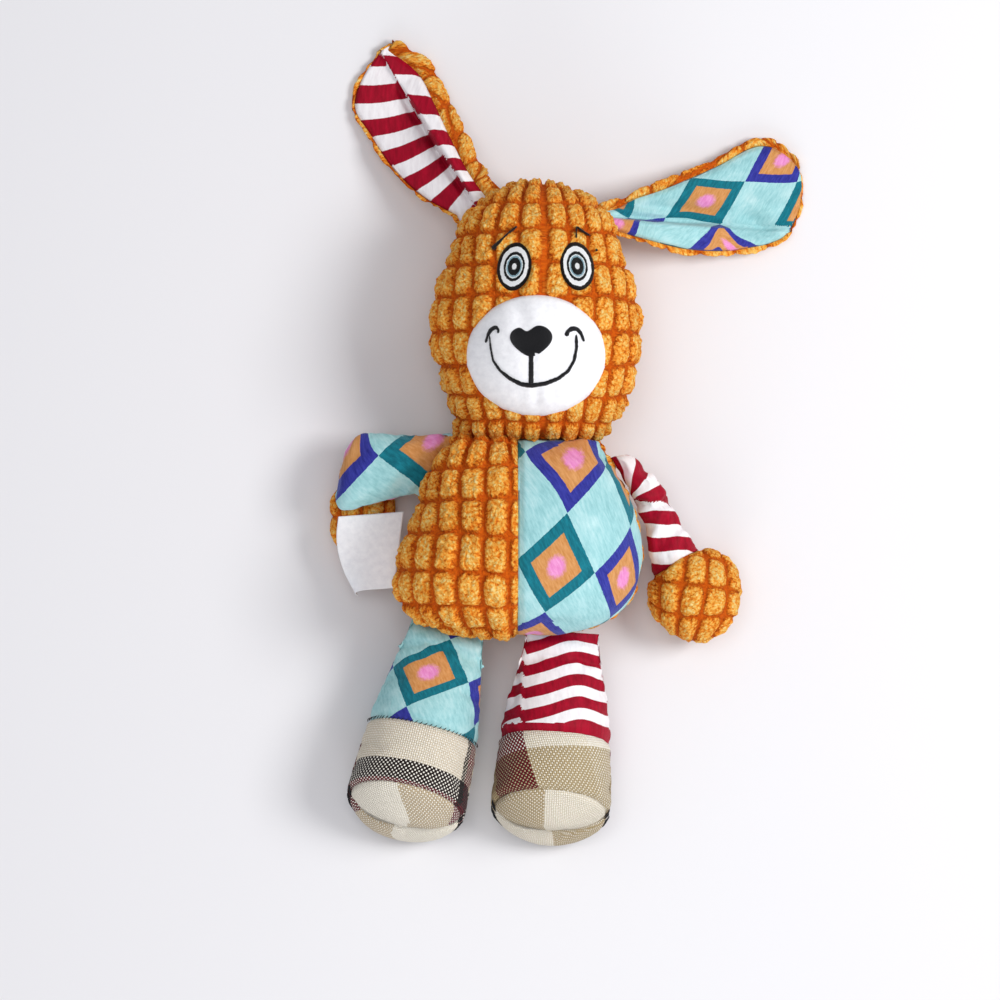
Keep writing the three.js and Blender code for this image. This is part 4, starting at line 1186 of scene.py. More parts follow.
@dataclass(frozen=True)
class Fan:
    """Stripes that spread from a point beyond a piece's side, and lie level past a lengthwise fold."""

    x: float
    y: float
    period: float
    level: float
    top: float
    fold: Line
    wall: Point = (5.8, 2.9)
    reach: float = 26.0
    sag: float = 1.7
    lift: float = 1.3
    unit: float = 12.0
    starts: Point = (-0.037, 0.565)

    def count(self, seen: np.ndarray, points: np.ndarray) -> np.ndarray:
        """The stripes' count at each point, rising up the picture.

        Args:
            seen: where each point of the fabric is counted from above, in mm.
            points: where it lies.

        Returns:
            The count. The fold's wall takes a little of the fabric in, and the stripes sag towards the fold.
        """
        far = self.fold.left(points)
        wall = smooth(-0.9, 0.9, far)
        low = seen - wall[..., None] * np.array(self.wall)
        angle = np.degrees(np.arctan2(self.y - low[..., 1], self.x - low[..., 0]))
        inner = np.clip(-far / self.reach, 0, 1)
        sag = self.sag * np.sin(np.pi * inner**0.75) + self.lift * np.exp(np.minimum(far, 0) / 3.5) - 2.0
        spread = -angle / self.period + self.starts[0] + sag / self.unit
        level = (seen[..., 1] + self.wall[1] * (1 - wall) - self.top) / self.level + self.starts[1]
        past = smooth(-0.05, 0.05, far)
        return spread * (1 - past) + level * past


@dataclass(frozen=True)
class Bands:
    """How the stripes lie: where a red one starts, their period, their turn and how far they arch.

    A pivot is the point about which they fan at a limb's root, and a hem is a plain strip at the last seam.
    """

    x: float
    y: float
    period: float = 11.0
    turn: float = 0.0
    arch: float = 0.0
    width: float = 20.0
    peak: float = 0.0
    ridge: Ridge | None = None
    pivot: Place | None = None
    fan: Fan | None = None
    hem: float = 0.0

    def over(self, cloth: Cloth) -> np.ndarray:
        """Mm across the stripes' length and the stripes' count over a piece of cloth."""
        flat = cloth.seen(self.x, self.y)
        x, y = spun(flat[..., 0], flat[..., 1], -self.turn)
        y = y - self.arch * np.exp(-(((x - self.peak) / self.width) ** 2))
        if self.ridge:
            y = y + self.ridge.shift(cloth.points)
        if self.pivot:
            px, py, radius = self.pivot
            side, up = flat[..., 0] + self.x - px, flat[..., 1] + self.y - py
            angle = np.clip(np.arctan2(up, np.maximum(side, -20)), 0, HALF * 0.8)
            y = np.where(up > 0, angle * radius, y - (py - self.y) * math.cos(math.radians(self.turn)))
        count = y / self.period
        if self.fan:
            count = self.fan.count(flat + np.array([self.x, self.y]), cloth.points)
        if self.hem:
            near = smooth(self.hem + 0.2, self.hem - 0.2, cloth.along[-1] - cloth.along + Noise(5).at(x, y, 2.5) * 0.5)
            count = count + (np.floor(count) + 0.3 - count) * near
        return np.stack([x, count], axis=-1)


@dataclass(frozen=True)
class Threads:
    """How the plaid lies: where its repeat starts, seen from above, and its turn."""

    x: float
    y: float
    turn: float = 0.0
    shear: float = 0.0
    pitch: float = 1.02

    def over(self, cloth: Cloth) -> np.ndarray:
        """Threads each way over a piece of cloth."""
        flat = cloth.seen(self.x, self.y)
        x, y = spun(flat[..., 0], flat[..., 1], -self.turn)
        return np.stack([x + self.shear * y, y], axis=-1) / self.pitch


Lay = Blocks | Counted | Diamonds | Bands | Threads
REPEATS: dict[type, Point] = {Bands: (NEVER, 1.0), Diamonds: (2.0, 2.0)}


class Tufts:
    """The raised blocks of corduroy as a height over the ground."""

    noise = Noise(7)
    column, row = 11.5, 16.0

    @classmethod
    def height(cls, uv: np.ndarray, tall: float) -> np.ndarray:
        """How high the pile stands, in mm, from the pattern's columns and rows and the height of a tuft."""
        x, y = uv[..., 0], uv[..., 1]
        u, v = x * cls.column, y * cls.row
        a = np.abs(x - np.floor(x) - 0.5) / 0.46
        b = np.abs(y - np.floor(y) - 0.5) / 0.495
        reach = (a**3.4 + b**5) ** 0.25 + cls.noise.at(u, v, 2.2) * 0.05
        body = np.clip(1 - np.clip(reach, 0, 1) ** 2.6, 0, 1) ** 0.55
        lumps = cls.noise.at(u + 40, v, 1.5) * 0.26 + cls.noise.at(u, v + 90, 3.2) * 0.2
        tuft = cls.noise.table[np.floor(x).astype(int) % Noise.size, np.floor(y).astype(int) % Noise.size] * 0.2
        return tall * body * (1 + lumps + tuft)


# ---- sewing one panel --------------------------------------------------------------------------------------------


@dataclass(frozen=True)
class Bend:
    """A seam that a panel bends across: the two bodies and where it starts and ends, in mm."""

    still: str
    moving: str
    start: Place
    end: Place

    def hold(self, made: bpy.types.Object) -> None:
        """Bakes a finished piece's place into its mesh."""
        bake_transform(made)


def hand_over(made: bpy.types.Object, body: str, node: str = "",
              bend: Bend | None = None) -> None:
    """Says what a finished piece is.

    Args:
        made: the piece.
        body: the body that it rides.
        node: the solid that it stands for, if any.
        bend: the seam that it spans; with one, the piece is baked in place instead of riding one body.
    """
    if bend:
        bend.hold(made)
    else:
        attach(made, body)
    if node:
        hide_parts(node)
    LOG.info("%s: %d faces, on %s", made.name, len(made.data.polygons), body)


@dataclass(frozen=True)
class Bare:
    """A round place where the pile is pressed flat under a patch, seen from above."""

    x: float
    y: float
    wide: float
    high: float

    def share(self, points: np.ndarray) -> np.ndarray:
        """How much of the pile is left at each point."""
        far = np.hypot((points[..., 0] - self.x) / self.wide, (points[..., 1] - self.y) / self.high)
        return np.where(points[..., 2] > SEAM_HEIGHT, smooth(0.86, 1.0, far), 1.0)


@dataclass
class Panel:
    """One panel of fabric over a stretch of a form, sewn at its edges and stuffed from behind."""

    name: str
    form: Form
    reach: Point
    rings: int
    spans: list[Span]
    fabric: Fabric
    body: str
    node: str
    lay: Lay
    zero: int = 0
    seams: tuple[int, ...] = ()
    ends: tuple[int, ...] = ()
    wrap: bool = False
    poles: tuple[bool, bool] = (False, False)
    creases: tuple[Crease, ...] = ()
    bare: tuple[Bare, ...] = ()
    tall: float = 0.0
    lumps: float = 0.35
    sink: float = 1.0
    band: float = 2.6
    pucker: float = 0.0
    fill: float = 0.7
    bend: Bend | None = None
    floor: float = 0.0
    ground: float = 0.3

    def lift(self, cloth: Cloth, uv: np.ndarray) -> np.ndarray:
        """How far the fabric stands out of the plain form.

        Args:
            cloth: the measured cloth.
            uv: the pattern's coordinates.

        Returns:
            A distance in mm for each point.
        """
        share = smooth(0, self.band, cloth.far)
        lift = -self.sink * np.exp(-((cloth.far / self.band) ** 2) * 2)
        lift = lift + Noise(len(self.name) * 3 + 5).at(cloth.across, cloth.along, 15) * self.lumps * share
        if self.pucker:
            wave = np.sin(cloth.across * 1.15 + 2 * np.sin(cloth.across * 0.31)) + 0.6 * np.sin(cloth.along * 0.93)
            lift = lift + wave * self.pucker * np.exp(-cloth.far / 6.0) * share
        if self.tall:
            pile = Tufts.height(uv, self.tall) * share - self.ground
            for bare in self.bare:
                pile = pile * bare.share(cloth.points)
            lift = lift + pile
        return lift + sum(crease.press(cloth.points) for crease in self.creases) * share

    def lining(self, rings: np.ndarray) -> np.ndarray:
        """The inner grid, coarser where nothing is folded, and drawn back from an end that closes in a point."""
        step = 1 if self.form.folds else INNER_STEP
        back = rings[::step].copy()
        if self.poles[0]:
            back[0] = back[0] * 0.4 + back[1] * 0.6
        if self.poles[1] and step > 1:
            back[-1] = back[-1] * 0.4 + back[-2] * 0.6
        elif self.poles[1]:
            last = 2 * INNER_STEP + 1
            back[-last:] -= (rings[-1] - rings[-1 - INNER_STEP]) * 0.6 * np.linspace(0, 1, last)
        skin = self.fabric.skin
        inner = self.form.surface(back, [(a, b, steps // step) for a, b, steps in self.spans], -skin)
        inner[..., 2] = np.maximum(inner[..., 2], self.floor + skin * 0.9)
        return inner

    def make(self) -> None:
        """Cuts the panel over its stuffed form, sews its shell and hands it over."""
        rings = self.form.places(*self.reach, self.rings)
        cloth = Cloth.over(self.form, rings, self.spans, self.zero, self.seams, self.ends, self.wrap)
        uv = self.lay.over(cloth)
        outer = cloth.points + cloth.out * self.lift(cloth, uv)[..., None]
        outer[..., 2] = np.maximum(outer[..., 2], self.floor)
        made = Sewing.shell(self.name, outer, self.lining(rings), uv, self.fabric.material, self.wrap, self.poles,
                            REPEATS.get(type(self.lay)))
        hand_over(made, self.body, self.node, self.bend)


@dataclass
class Surface:
    """The upper surface of a panel, on which patches and stitches are laid."""

    tree: BVHTree
    above: float = 300.0

    @classmethod
    def of(cls, grids: list[np.ndarray]) -> "Surface":
        """A surface over some grids of points, in mm."""
        points: list = []
        faces: list = []
        for grid in grids:
            base, (rows, cols) = len(points), grid.shape[:2]
            points += grid.reshape(-1, 3).tolist()
            r, c = np.meshgrid(np.arange(rows - 1), np.arange(cols - 1), indexing="ij")
            at = base + (r * cols + c).ravel()
            faces += np.stack([at, at + 1, at + cols + 1, at + cols], axis=1).tolist()
        return cls(BVHTree.FromPolygons([Vector(p) for p in points], faces))

    def drop(self, x: np.ndarray, y: np.ndarray) -> np.ndarray:
        """Heights in mm under points that are seen from above, so many mm to the right and up."""
        found = []
        for a, b in zip(np.ravel(x), np.ravel(y)):
            hit = self.tree.ray_cast(Vector((float(a), float(b), self.above)), Vector((0, 0, -1)))[0]
            found.append(hit.z if hit else SEAM_HEIGHT)
        return np.array(found).reshape(np.shape(x))


@dataclass
class Stitching:
    """A raised line of stitches along a path seen from above: places, widths and height in mm."""

    name: str
    path: list[Place]
    height: float
    pitch: float = 0.35
    cuts: int = 9

    def rows(self, surface: Surface) -> tuple[np.ndarray, np.ndarray, np.ndarray]:
        """The line's upper grid, its lower one and its cloth coordinates, where it lies on a surface."""
        knots = np.array(self.path)
        reach = reached(knots[:, :2])
        count = max(int(reach[-1] / self.pitch), 6)
        t = np.linspace(0, reach[-1], count + 1)
        line = np.stack([np.interp(t, reach, knots[:, k]) for k in range(3)], axis=1)
        for _ in range(4):
            line[1:-1] = (line[:-2] + 2 * line[1:-1] + line[2:]) / 4
        slope = np.gradient(line[:, :2], axis=0)
        slope /= np.maximum(np.linalg.norm(slope, axis=1, keepdims=True), 1e-9)
        side = np.stack([-slope[:, 1], slope[:, 0]], axis=1)
        ends = np.sqrt(np.clip(1 - np.abs(np.linspace(-1, 1, count + 1)) ** 24, 0.02, 1))
        rough = Noise(31).at(t, t * 0, 0.6) * 0.1
        cut = np.linspace(-1, 1, self.cuts)
        half = (line[:, 2] / 2 * ends + rough)[:, None] * cut[None]
        x, y = (line[:, k : k + 1] + side[:, k : k + 1] * half for k in (0, 1))
        z = surface.drop(x, y)
        rise = self.height * ends[:, None] * np.sqrt(np.clip(1 - cut[None] ** 2, 0, 1))
        uv = np.stack([np.repeat(t[:, None], self.cuts, axis=1), half], axis=-1)
        return np.stack([x, y, z + rise], axis=-1), np.stack([x, y, z - 0.5], axis=-1), uv


@dataclass(frozen=True)
class Overlock:
    """A row of dark slanted stitches over a seam that runs round a form."""

    name: str
    form: Form
    along: float
    first: float
    last: float
    body: str
    pitch: float = 2.1
    reach: float = 1.5
    thick: float = 0.32
    cuts: int = 5
    sides: int = 6

    def make(self, thread: bpy.types.Material) -> None:
        """Sews the stitches in a thread."""
        step = self.reach / self.form.length
        fine = np.linspace(self.first, self.last, 240)
        run = reached(self.form.surface(np.array([self.along]), [(self.first, self.last, 239)])[0])
        points, faces, uvs = [], [], []
        for k in range(int(run[-1] / self.pitch)):
            rows = []
            for u in np.linspace(-1, 1, self.cuts):
                angle = float(np.interp((k + 0.5 + 0.28 * u) * self.pitch, run, fine))
                grow = 0.15 - 0.25 * abs(u) + 0.12 * math.sin(k * 2.3)
                place = np.array([self.along + u * step])
                rows.append(self.form.surface(place, [(angle, angle + 1e-3, 1)], grow)[0, 0])
            line = np.array(rows)
            along = np.gradient(line, axis=0)
            along /= np.linalg.norm(along, axis=1, keepdims=True)
            side = np.cross(along, np.array([0.31, 0.17, 0.93]))
            side /= np.linalg.norm(side, axis=1, keepdims=True)
            up = np.cross(side, along)
            base, last = len(points), self.cuts - 1
            for j in range(self.cuts):
                width = self.thick * (0.45 if j in (0, last) else 1.0)
                for a in np.linspace(0, FULL, self.sides + 1)[:-1]:
                    points.append(line[j] + width * (math.cos(a) * side[j] + math.sin(a) * up[j]))
            for j in range(last):
                for a in range(self.sides):
                    b = (a + 1) % self.sides
                    quad = [(j, a), (j, b), (j + 1, b), (j + 1, a)]
                    faces.append([base + r * self.sides + c for r, c in quad])
                    uvs.append([(r * 0.6, c * 0.3) for r, c in quad])
            for j in (0, last):
                faces.append([base + j * self.sides + a for a in range(self.sides)])
                uvs.append([(0.0, a * 0.3) for a in range(self.sides)])
        hand_over(Sewing.build(self.name, points, faces, uvs, thread), self.body)


def joined(name: str, parts: list[bpy.types.Object]) -> bpy.types.Object:
    """Joins several meshes into the first one under one name."""
    for other in bpy.context.selected_objects:
        other.select_set(False)
    for part in parts:
        part.select_set(True)
    bpy.context.view_layer.objects.active = parts[0]
    if len(parts) > 1:
        bpy.ops.object.join()
    parts[0].name = name
    parts[0].select_set(False)
    return parts[0]


# ---- the toy -----------------------------------------------------------------------------------------------------


def round_spans(steps: int) -> list[Span]:
    """The stretches of a whole ring: half of the back, the front, and the other half of the back."""
    return [(ROUND, 0.0, steps // 4), (0.0, HALF, steps // 2), (HALF, HALF - ROUND, steps // 4)]


@dataclass
class Filling:
    """The fibre that stuffs a form."""

    name: str
    form: Form
    reach: Point
    inset: float
    body: str
    node: str
    bend: Bend | None = None
    rings: int = 24
    steps: int = 32

    def make(self, fibre: bpy.types.Material) -> None:
        """Makes the filling as the form grown inward."""
        core = self.form.surface(self.form.places(*self.reach, self.rings), round_spans(self.steps), -self.inset)
        core[..., 2] = np.maximum(core[..., 2], self.inset)
        middle = core[:, :-1].mean(axis=1, keepdims=True)
        small = (core * 0.12 + middle * 0.88)[::INNER_STEP, ::INNER_STEP]
        counts = (np.arange(count + 1) * 3.0 for count in (self.rings, self.steps))
        uv = np.stack(np.meshgrid(*counts, indexing="ij"), axis=-1)
        made = Sewing.shell(self.name, core, small, uv, fibre, wrap=True)
        hand_over(made, self.body, self.node, self.bend)


@dataclass
class Body:
    """The belly: two front panels, the back panel and the filling."""

    wardrobe: Wardrobe
    form: Form = field(default_factory=lambda: Form(
        rows=(
            (0, 1, 0.93, 0.8, 0.92, 0), (0.25, 1, 0.95, 0.97, 1, 0), (0.4, 0.96, 1, 1, 1, 0),
            (0.6, 0.85, 0.95, 0.95, 1, 0), (0.8, 0.74, 0.82, 0.77, 0.92, 0), (0.92, 0.61, 0.72, 0.55, 0.74, 0),
            (1, 0.53, 0.65, 0.38, 0.55, 0),
        ),
        length=88, direction=1, left=54.5, right=53.5, front=44, back=31,
        start_round=0.3, power=2.4, squareness=2.3, place=(0, -42, SEAM_HEIGHT),
    ))
    seam: float = -1.0
    neck: Bend = Bend("torso", "head", (7, 30, 30.5), (7, 46, 30.5))

    def build(self) -> None:
        """Makes the three panels and the filling."""
        form, w = self.form, self.wardrobe
        middle = form.line(self.seam)
        Stuffing(cap=3.0).fill(form, 0.0, 1.0)
        rest = dict(body="torso", seams=(0, -1), bend=self.neck, fill=0.8)
        Panel("body_front_corduroy", form, (0.0, 1.0), 176, [(middle, HALF, 112)], w.corduroy,
              node="front_corduroy_panel", lay=Blocks(-4.4, 2.7, 12.2, 16.4, 0, 0.42), tall=2.9, **rest).make()
        Panel("body_front_print", form, (0.0, 1.0), 120, [(0.0, middle, 80)], w.print,
              node="front_print_panel", zero=80, ends=(-1,),
              lay=Diamonds(16.0, -11.6, (23.4, 19.2), (12.4, -25.6), relax=0.0031, pull=5.5),
              creases=(Crease(16, 45, 30, 37, 1.3, 3.2), Crease(33, 43, 41, 31, 1.2, 2.8),
                       Crease(42, -25, 48, -10, 0.8, 3.0), Crease(8, -38, 24, -37, 0.8, 2.4)),
              pucker=0.16, sink=1.3, band=3.2, **rest).make()
        Panel("body_back", form, (0.0, 1.0), 160, [(HALF, FULL, 152)], w.corduroy,
              node="back_panel", lay=Counted(11.8, 16.2), zero=76, ends=(-1,), tall=2.0, **rest).make()
        Filling("body_stuffing", form, (0.04, 0.97), PILE_SKIN + GAP, "torso", "body_filling", self.neck).make(w.fibre)


@dataclass
class Head:
    """The head, its muzzle patch and its embroidered face."""

    wardrobe: Wardrobe
    form: Form = field(default_factory=lambda: Form(
        rows=(
            (0, 0.78, 0.62, 0.37, 0.55, 0), (0.1, 0.82, 0.8, 0.66, 0.76, 0), (0.25, 0.9, 0.94, 0.93, 0.95, 0),
            (0.42, 1, 0.99, 1, 1, 0), (0.58, 0.95, 0.94, 0.98, 1, 0), (0.75, 0.78, 0.8, 0.9, 0.95, 0),
            (1, 0.68, 0.7, 0.8, 0.8, 0),
        ),
        length=112, direction=1, left=45.5, right=45.5, front=45, back=31,
        end_round=0.25, power=2, squareness=2.1, place=(7, 46, SEAM_HEIGHT),
    ))
    muzzle: tuple[float, float, float, float] = (7.0, 81.9, 31.0, 26.6)
    rise: float = 9.0
    eyes: tuple[Place, ...] = ((-2.7, 121.2, -11.0), (25.2, 121.5, 9.0))
    eye: Point = (7.5, 10.9)
    nose: tuple[float, float, float, float] = (4.7, 88.6, 9.2, 6.1)

    def build(self) -> None:
        """Makes the head and all that is on it."""
        form, w = self.form, self.wardrobe
        groove = form.line(3.4)
        Stuffing(cap=3.0).fill(form, -0.03, 1.0)
        x, y, wide, high = self.muzzle
        bare = [Bare(x, y, wide + 0.5, high + 0.5)]
        bare += [Bare(ex, ey, self.eye[0] + 1.2, self.eye[1] + 1.2) for ex, ey, _ in self.eyes]
        rest = dict(fabric=w.corduroy, body="head", seams=(0, -1), poles=(False, True), fill=0.8)
        Panel("head_front", form, (-0.03, 1.0), 208, [(0.0, groove, 80), (groove, HALF, 88)], node="head_front_panel",
              lay=Blocks(10.4, 108, 11.2, 15.2, 0, 0.45, 0.12, 0.9), zero=80, bare=tuple(bare), tall=2.8, **rest).make()
        Panel("head_back", form, (-0.03, 1.0), 160, [(HALF, FULL, 128)], node="head_back_panel",
              lay=Counted(11.2, 15.6), zero=64, tall=2.0, **rest).make()
        Filling("head_stuffing", form, (0.03, 0.97), PILE_SKIN + GAP, "head", "head_filling").make(w.fibre)
        front = form.surface(form.places(0, 1, 90), [(0.0, HALF, 80)])
        plain = Surface.of([front])
        muzzle = self.make_muzzle(plain)
        self.make_eyes(plain)
        face = Surface.of([muzzle, front])
        self.make_nose(face)
        self.make_lines(face)

    def disc(self, x: float, y: float, wide: float, high: float, lean: float, rings: int) -> tuple[np.ndarray, ...]:
        """Places over an ellipse seen from above.

        Args:
            x: its middle, to the right.
            y: its middle, up.
            wide: its half width.
            high: its half height.
            lean: its turn in degrees.
            rings: how many rings it has.

        Returns:
            Distances from the middle as shares, angles, and the places' two coordinates.
        """
        share, angle = np.meshgrid(np.linspace(0.02, 1, rings), np.linspace(0, FULL, rings * 4 + 1), indexing="ij")
        px, py = spun(share * np.cos(angle) * wide, share * np.sin(angle) * high, lean)
        return share, angle, x + px, y + py

    def make_muzzle(self, plain: Surface) -> np.ndarray:
        """Makes the white muzzle patch on the head's surface, and gives the grid of its upper side."""
        share, angle, x, y = self.disc(*self.muzzle, 0.0, 48)
        z = plain.drop(x, y)
        dome = self.rise * np.sqrt(np.clip(1 - share**2.6, 0, 1)) + 0.5 + 1.1 * smooth(1, 0.96, share)
        top = np.stack([x, y, z + dome], axis=-1)
        folds = (Crease(2, 92, -2, 107, 0.9, 3.4), Crease(7, 58, 7.5, 69, 1.0, 2.2), Crease(-2, 62, 4, 68, 0.5, 2.6),
                 Crease(11, 68, 17, 63, 0.5, 2.6), Crease(4.9, 83, 4.9, 71, 0.5, 3.0))
        top[..., 2] += sum(fold.press(top) for fold in folds)
        top[..., 2] += Noise(3).at(x, y, 14) * 0.35 * (1 - share**4)
        base = np.stack([x, y, z - 1.6], axis=-1)
        made = Sewing.patch("muzzle_velour", top, base, top[..., :2], self.wardrobe.velour)
        hand_over(made, "head", "muzzle_patch")
        return top

    def make_eyes(self, plain: Surface) -> None:
        """Makes the two embroidered eyes."""
        for side, (x, y, lean) in zip(("right", "left"), self.eyes):
            share, angle, px, py = self.disc(x, y, *self.eye, lean, 30)
            z = plain.drop(px, py)
            ridge = 0.25 * np.exp(-(((share - 0.92) / 0.07) ** 2)) + 0.15 * np.exp(-(((share - 0.55) / 0.06) ** 2))
            top = np.stack([px, py, z + 1.5 * np.sqrt(np.clip(1.04 - share**6, 0, 1)) + ridge], axis=-1)
            base = np.stack([px, py, z - 0.8], axis=-1)
            made = Sewing.patch(f"{side}_eye", top, base, np.stack([share, angle], axis=-1), self.wardrobe.eye)
            hand_over(made, "head", f"{side}_eye_patch")

    def make_nose(self, face: Surface) -> None:
        """Makes the heart-shaped nose, with a dip between its two lobes and a chin."""
        middle_x, middle_y, wide, high = self.nose
        share = np.linspace(0.02, 1, 20)[:, None]
        angle = np.linspace(0, FULL, 97)[None]

        def bell(at: float, width: float) -> np.ndarray:
            """A rise at one angle."""
            return np.exp(-(((angle - at) / width) ** 2))

        lobe = 1 - 0.4 * bell(HALF / 2 + 0.14, 0.22) + 0.08 * bell(1.05, 0.4)
        chin = 1 + 0.22 * bell(1.5 * HALF, 0.6)
        c = np.cos(angle)
        x = middle_x + share * np.sign(c) * np.abs(c) ** 0.9 * wide * (1 + 0.17 * np.sin(angle))
        y = middle_y + share * np.sin(angle) * high * lobe * chin
        z = face.drop(x, y)
        top = np.stack([x, y, z + 1.2 * np.sqrt(np.clip(1.03 - share**5, 0, 1))], axis=-1)
        made = Sewing.patch("nose_stitches", top, np.stack([x, y, z - 0.6], axis=-1), top[..., :2], self.wardrobe.black)
        hand_over(made, "head", "nose")

    def make_lines(self, face: Surface) -> None:
        """Makes the mouth and the brows, whose paths are places in the picture with the line's width."""
        def seen(points: list[Place]) -> list[Place]:
            """Turns places in the picture into mm."""
            return [((x - 500) * 0.4418 - 9, (500 - y) * 0.4418 + 18, w) for x, y, w in points]

        mouth = [
            [(531, 355, 2.0), (531, 370, 2.2), (531, 385, 2.4)],
            [(489.5, 336, 0.8), (490.5, 348, 0.9), (493, 361, 1.1), (500, 371, 1.3), (510, 379, 1.7),
             (521, 384.5, 1.9), (531, 386, 2.1), (545, 384, 1.9), (558, 379, 1.7), (568, 371.5, 1.5),
             (574, 361, 1.4), (576.5, 348, 1.4), (576, 335, 1.4)],
            [(485.5, 343, 1.0), (488, 335, 1.4), (491, 330, 2.0), (495.5, 327.5, 1.9), (498.5, 330, 1.3),
             (498, 334, 1.1)],
            [(566, 337, 1.9), (567.5, 332, 1.9), (572, 329, 2.2), (577, 329.5, 2.0), (581, 334, 1.6),
             (584, 342, 1.2)],
        ]
        right = [[(492, 248.5, 2.3), (499, 241.5, 2.0), (503, 237.5, 1.3), (509, 232, 1.2), (517, 225.5, 1.0)]]
        left = [[(576.5, 238, 0.8), (576.8, 225.5, 0.8), (578, 226, 1.1), (583, 230, 1.3), (591, 234.5, 0.8)],
                [(595.5, 248.5, 2.4), (600, 249.5, 2.4)]]
        rows = (("mouth_stitches", mouth, "mouth_stitching", 0.9, 0.0),
                ("right_brow", right, "right_brow_stitching", 3.5, 0.2),
                ("left_brow", left, "left_brow_stitching", 3.5, 0.2))
        for name, lines, node, height, lift in rows:
            parts = []
            for path in lines:
                top, low, uv = Stitching(name, seen(path), height).rows(face)
                top[..., 2] += lift
                parts.append(Sewing.shell(name, top, low, uv, self.wardrobe.black))
            hand_over(joined(name, parts), "head", node)


@dataclass
class Ear:
    """A long ear: a front panel, and a corduroy back whose rim shows along the front's sides."""

    wardrobe: Wardrobe
    side: Side
    form: Form
    draws: Point
    fabric: Fabric
    lay: Diamonds | Bands
    creases: tuple[Crease, ...] = ()

    def build(self) -> None:
        """Makes the two panels."""
        name = self.side.name.lower()
        body = f"{name}_ear"
        left, right = self.form.inset(self.draws[0], Side.RIGHT), self.form.inset(self.draws[1], Side.LEFT)
        rest = dict(body=body, seams=(0, -1), poles=(False, True), fill=0.25, bend=self.form.root(4, 5, "head", body))
        Panel(f"{name}_ear_front", self.form, (-0.05, 1.0), 136, [(right, left, 76)], self.fabric,
              node=f"{name}_ear_front_panel", lay=self.lay, zero=38, creases=self.creases, sink=1.3,
              band=2.2, lumps=0.6, pucker=0.12, **rest).make()
        Panel(f"{name}_ear_back", self.form, (-0.05, 1.0), 136, [(left, lambda along: FULL + right(along), 116)],
              self.wardrobe.corduroy, node=f"{name}_ear_back_panel", lay=Counted(11.4, 16.0),
              zero=58, tall=1.5, sink=1.2, band=1.6, lumps=0.5, **rest).make()


@dataclass
class Arm:
    """A stuffed arm with its hand."""

    wardrobe: Wardrobe
    side: Side

    @property
    def body(self) -> str:
        """The arm's body."""
        return f"{self.side.name.lower()}_arm"

    def panel(self, name: str, form: Form, reach: Point, rings: int, steps: int, **rest: object) -> None:
        """Makes a panel of the arm that goes all the way round."""
        Panel(name, form, reach, rings, round_spans(steps), zero=steps // 2, seams=(steps // 4, 3 * steps // 4),
              wrap=True, body=self.body, **rest).make()


@dataclass
class LeftArm(Arm):
    """The long striped arm with its round corduroy hand."""

    form: Form = field(default_factory=lambda: Form(
        rows=(
            (0, 0, 0.5, 0.45, 0.45, 0), (0.13, 0, 0.51, 0.5, 0.5, 0.1), (0.2, 0.02, 0.6, 0.52, 0.52, 0.25),
            (0.36, 0.13, 0.6, 0.54, 0.54, 0.6), (0.5, 0.38, 0.6, 0.6, 0.6, 0.9), (0.6, 0.6, 0.66, 0.68, 0.68, 1),
            (0.7, 0.95, 0.95, 0.94, 0.94, 1), (0.84, 1, 1, 1, 1, 1), (1, 0.95, 0.95, 0.95, 0.95, 1),
        ),
        length=93, direction=-1, left=17, right=23, front=16.7, back=16.7, drop=10, start=8,
        start_round=0.12, end_round=0.24, power=2, place=(44.002, 29.981, 27), turn=30.5,
    ))
    cuff: float = 0.6

    def build(self) -> None:
        """Makes the sleeve, the hand and the filling."""
        form, w = self.form, self.wardrobe
        Stuffing(rows=40, cols=40, cap=2.2, inset=1.0).fill(form, 0.0, 1.0)
        root = form.root(-2, 16, "torso", self.body)
        self.panel("left_sleeve", form, (0.0, self.cuff), 92, 88, fabric=w.stripes, node="left_arm_sleeve",
                   lay=Bands(58, 8, 12.0, 3, 1.5, 9, 2, pivot=(47, 17.5, 17)), ends=(-1,),
                   creases=(Crease(48, 18, 59, 15, 2.8, 2.0), Crease(72, 21, 60, 14, 1.8, 2.2),
                            Crease(77, 8, 67, 4, 1.7, 2.2), Crease(52, 30, 64, 20, 1.0, 3.0),
                            Crease(54, 4, 66, 8, 0.9, 2.6), Crease(56, 18, 70, 14, 0.8, 2.4)),
                   pucker=0.2, lumps=0.5, poles=(True, False), bend=root)
        self.panel("left_hand_pile", form, (self.cuff, 1.0), 72, 128, fabric=w.corduroy, node="left_hand",
                   lay=Blocks(71.9, -32.9, 10.6, 13.6, -4), ends=(0,),
                   poles=(False, True), tall=2.0)
        Filling("left_arm_stuffing", form, (0.08, 0.96), PILE_SKIN + GAP, self.body, "left_arm_filling",
                root).make(w.fibre)


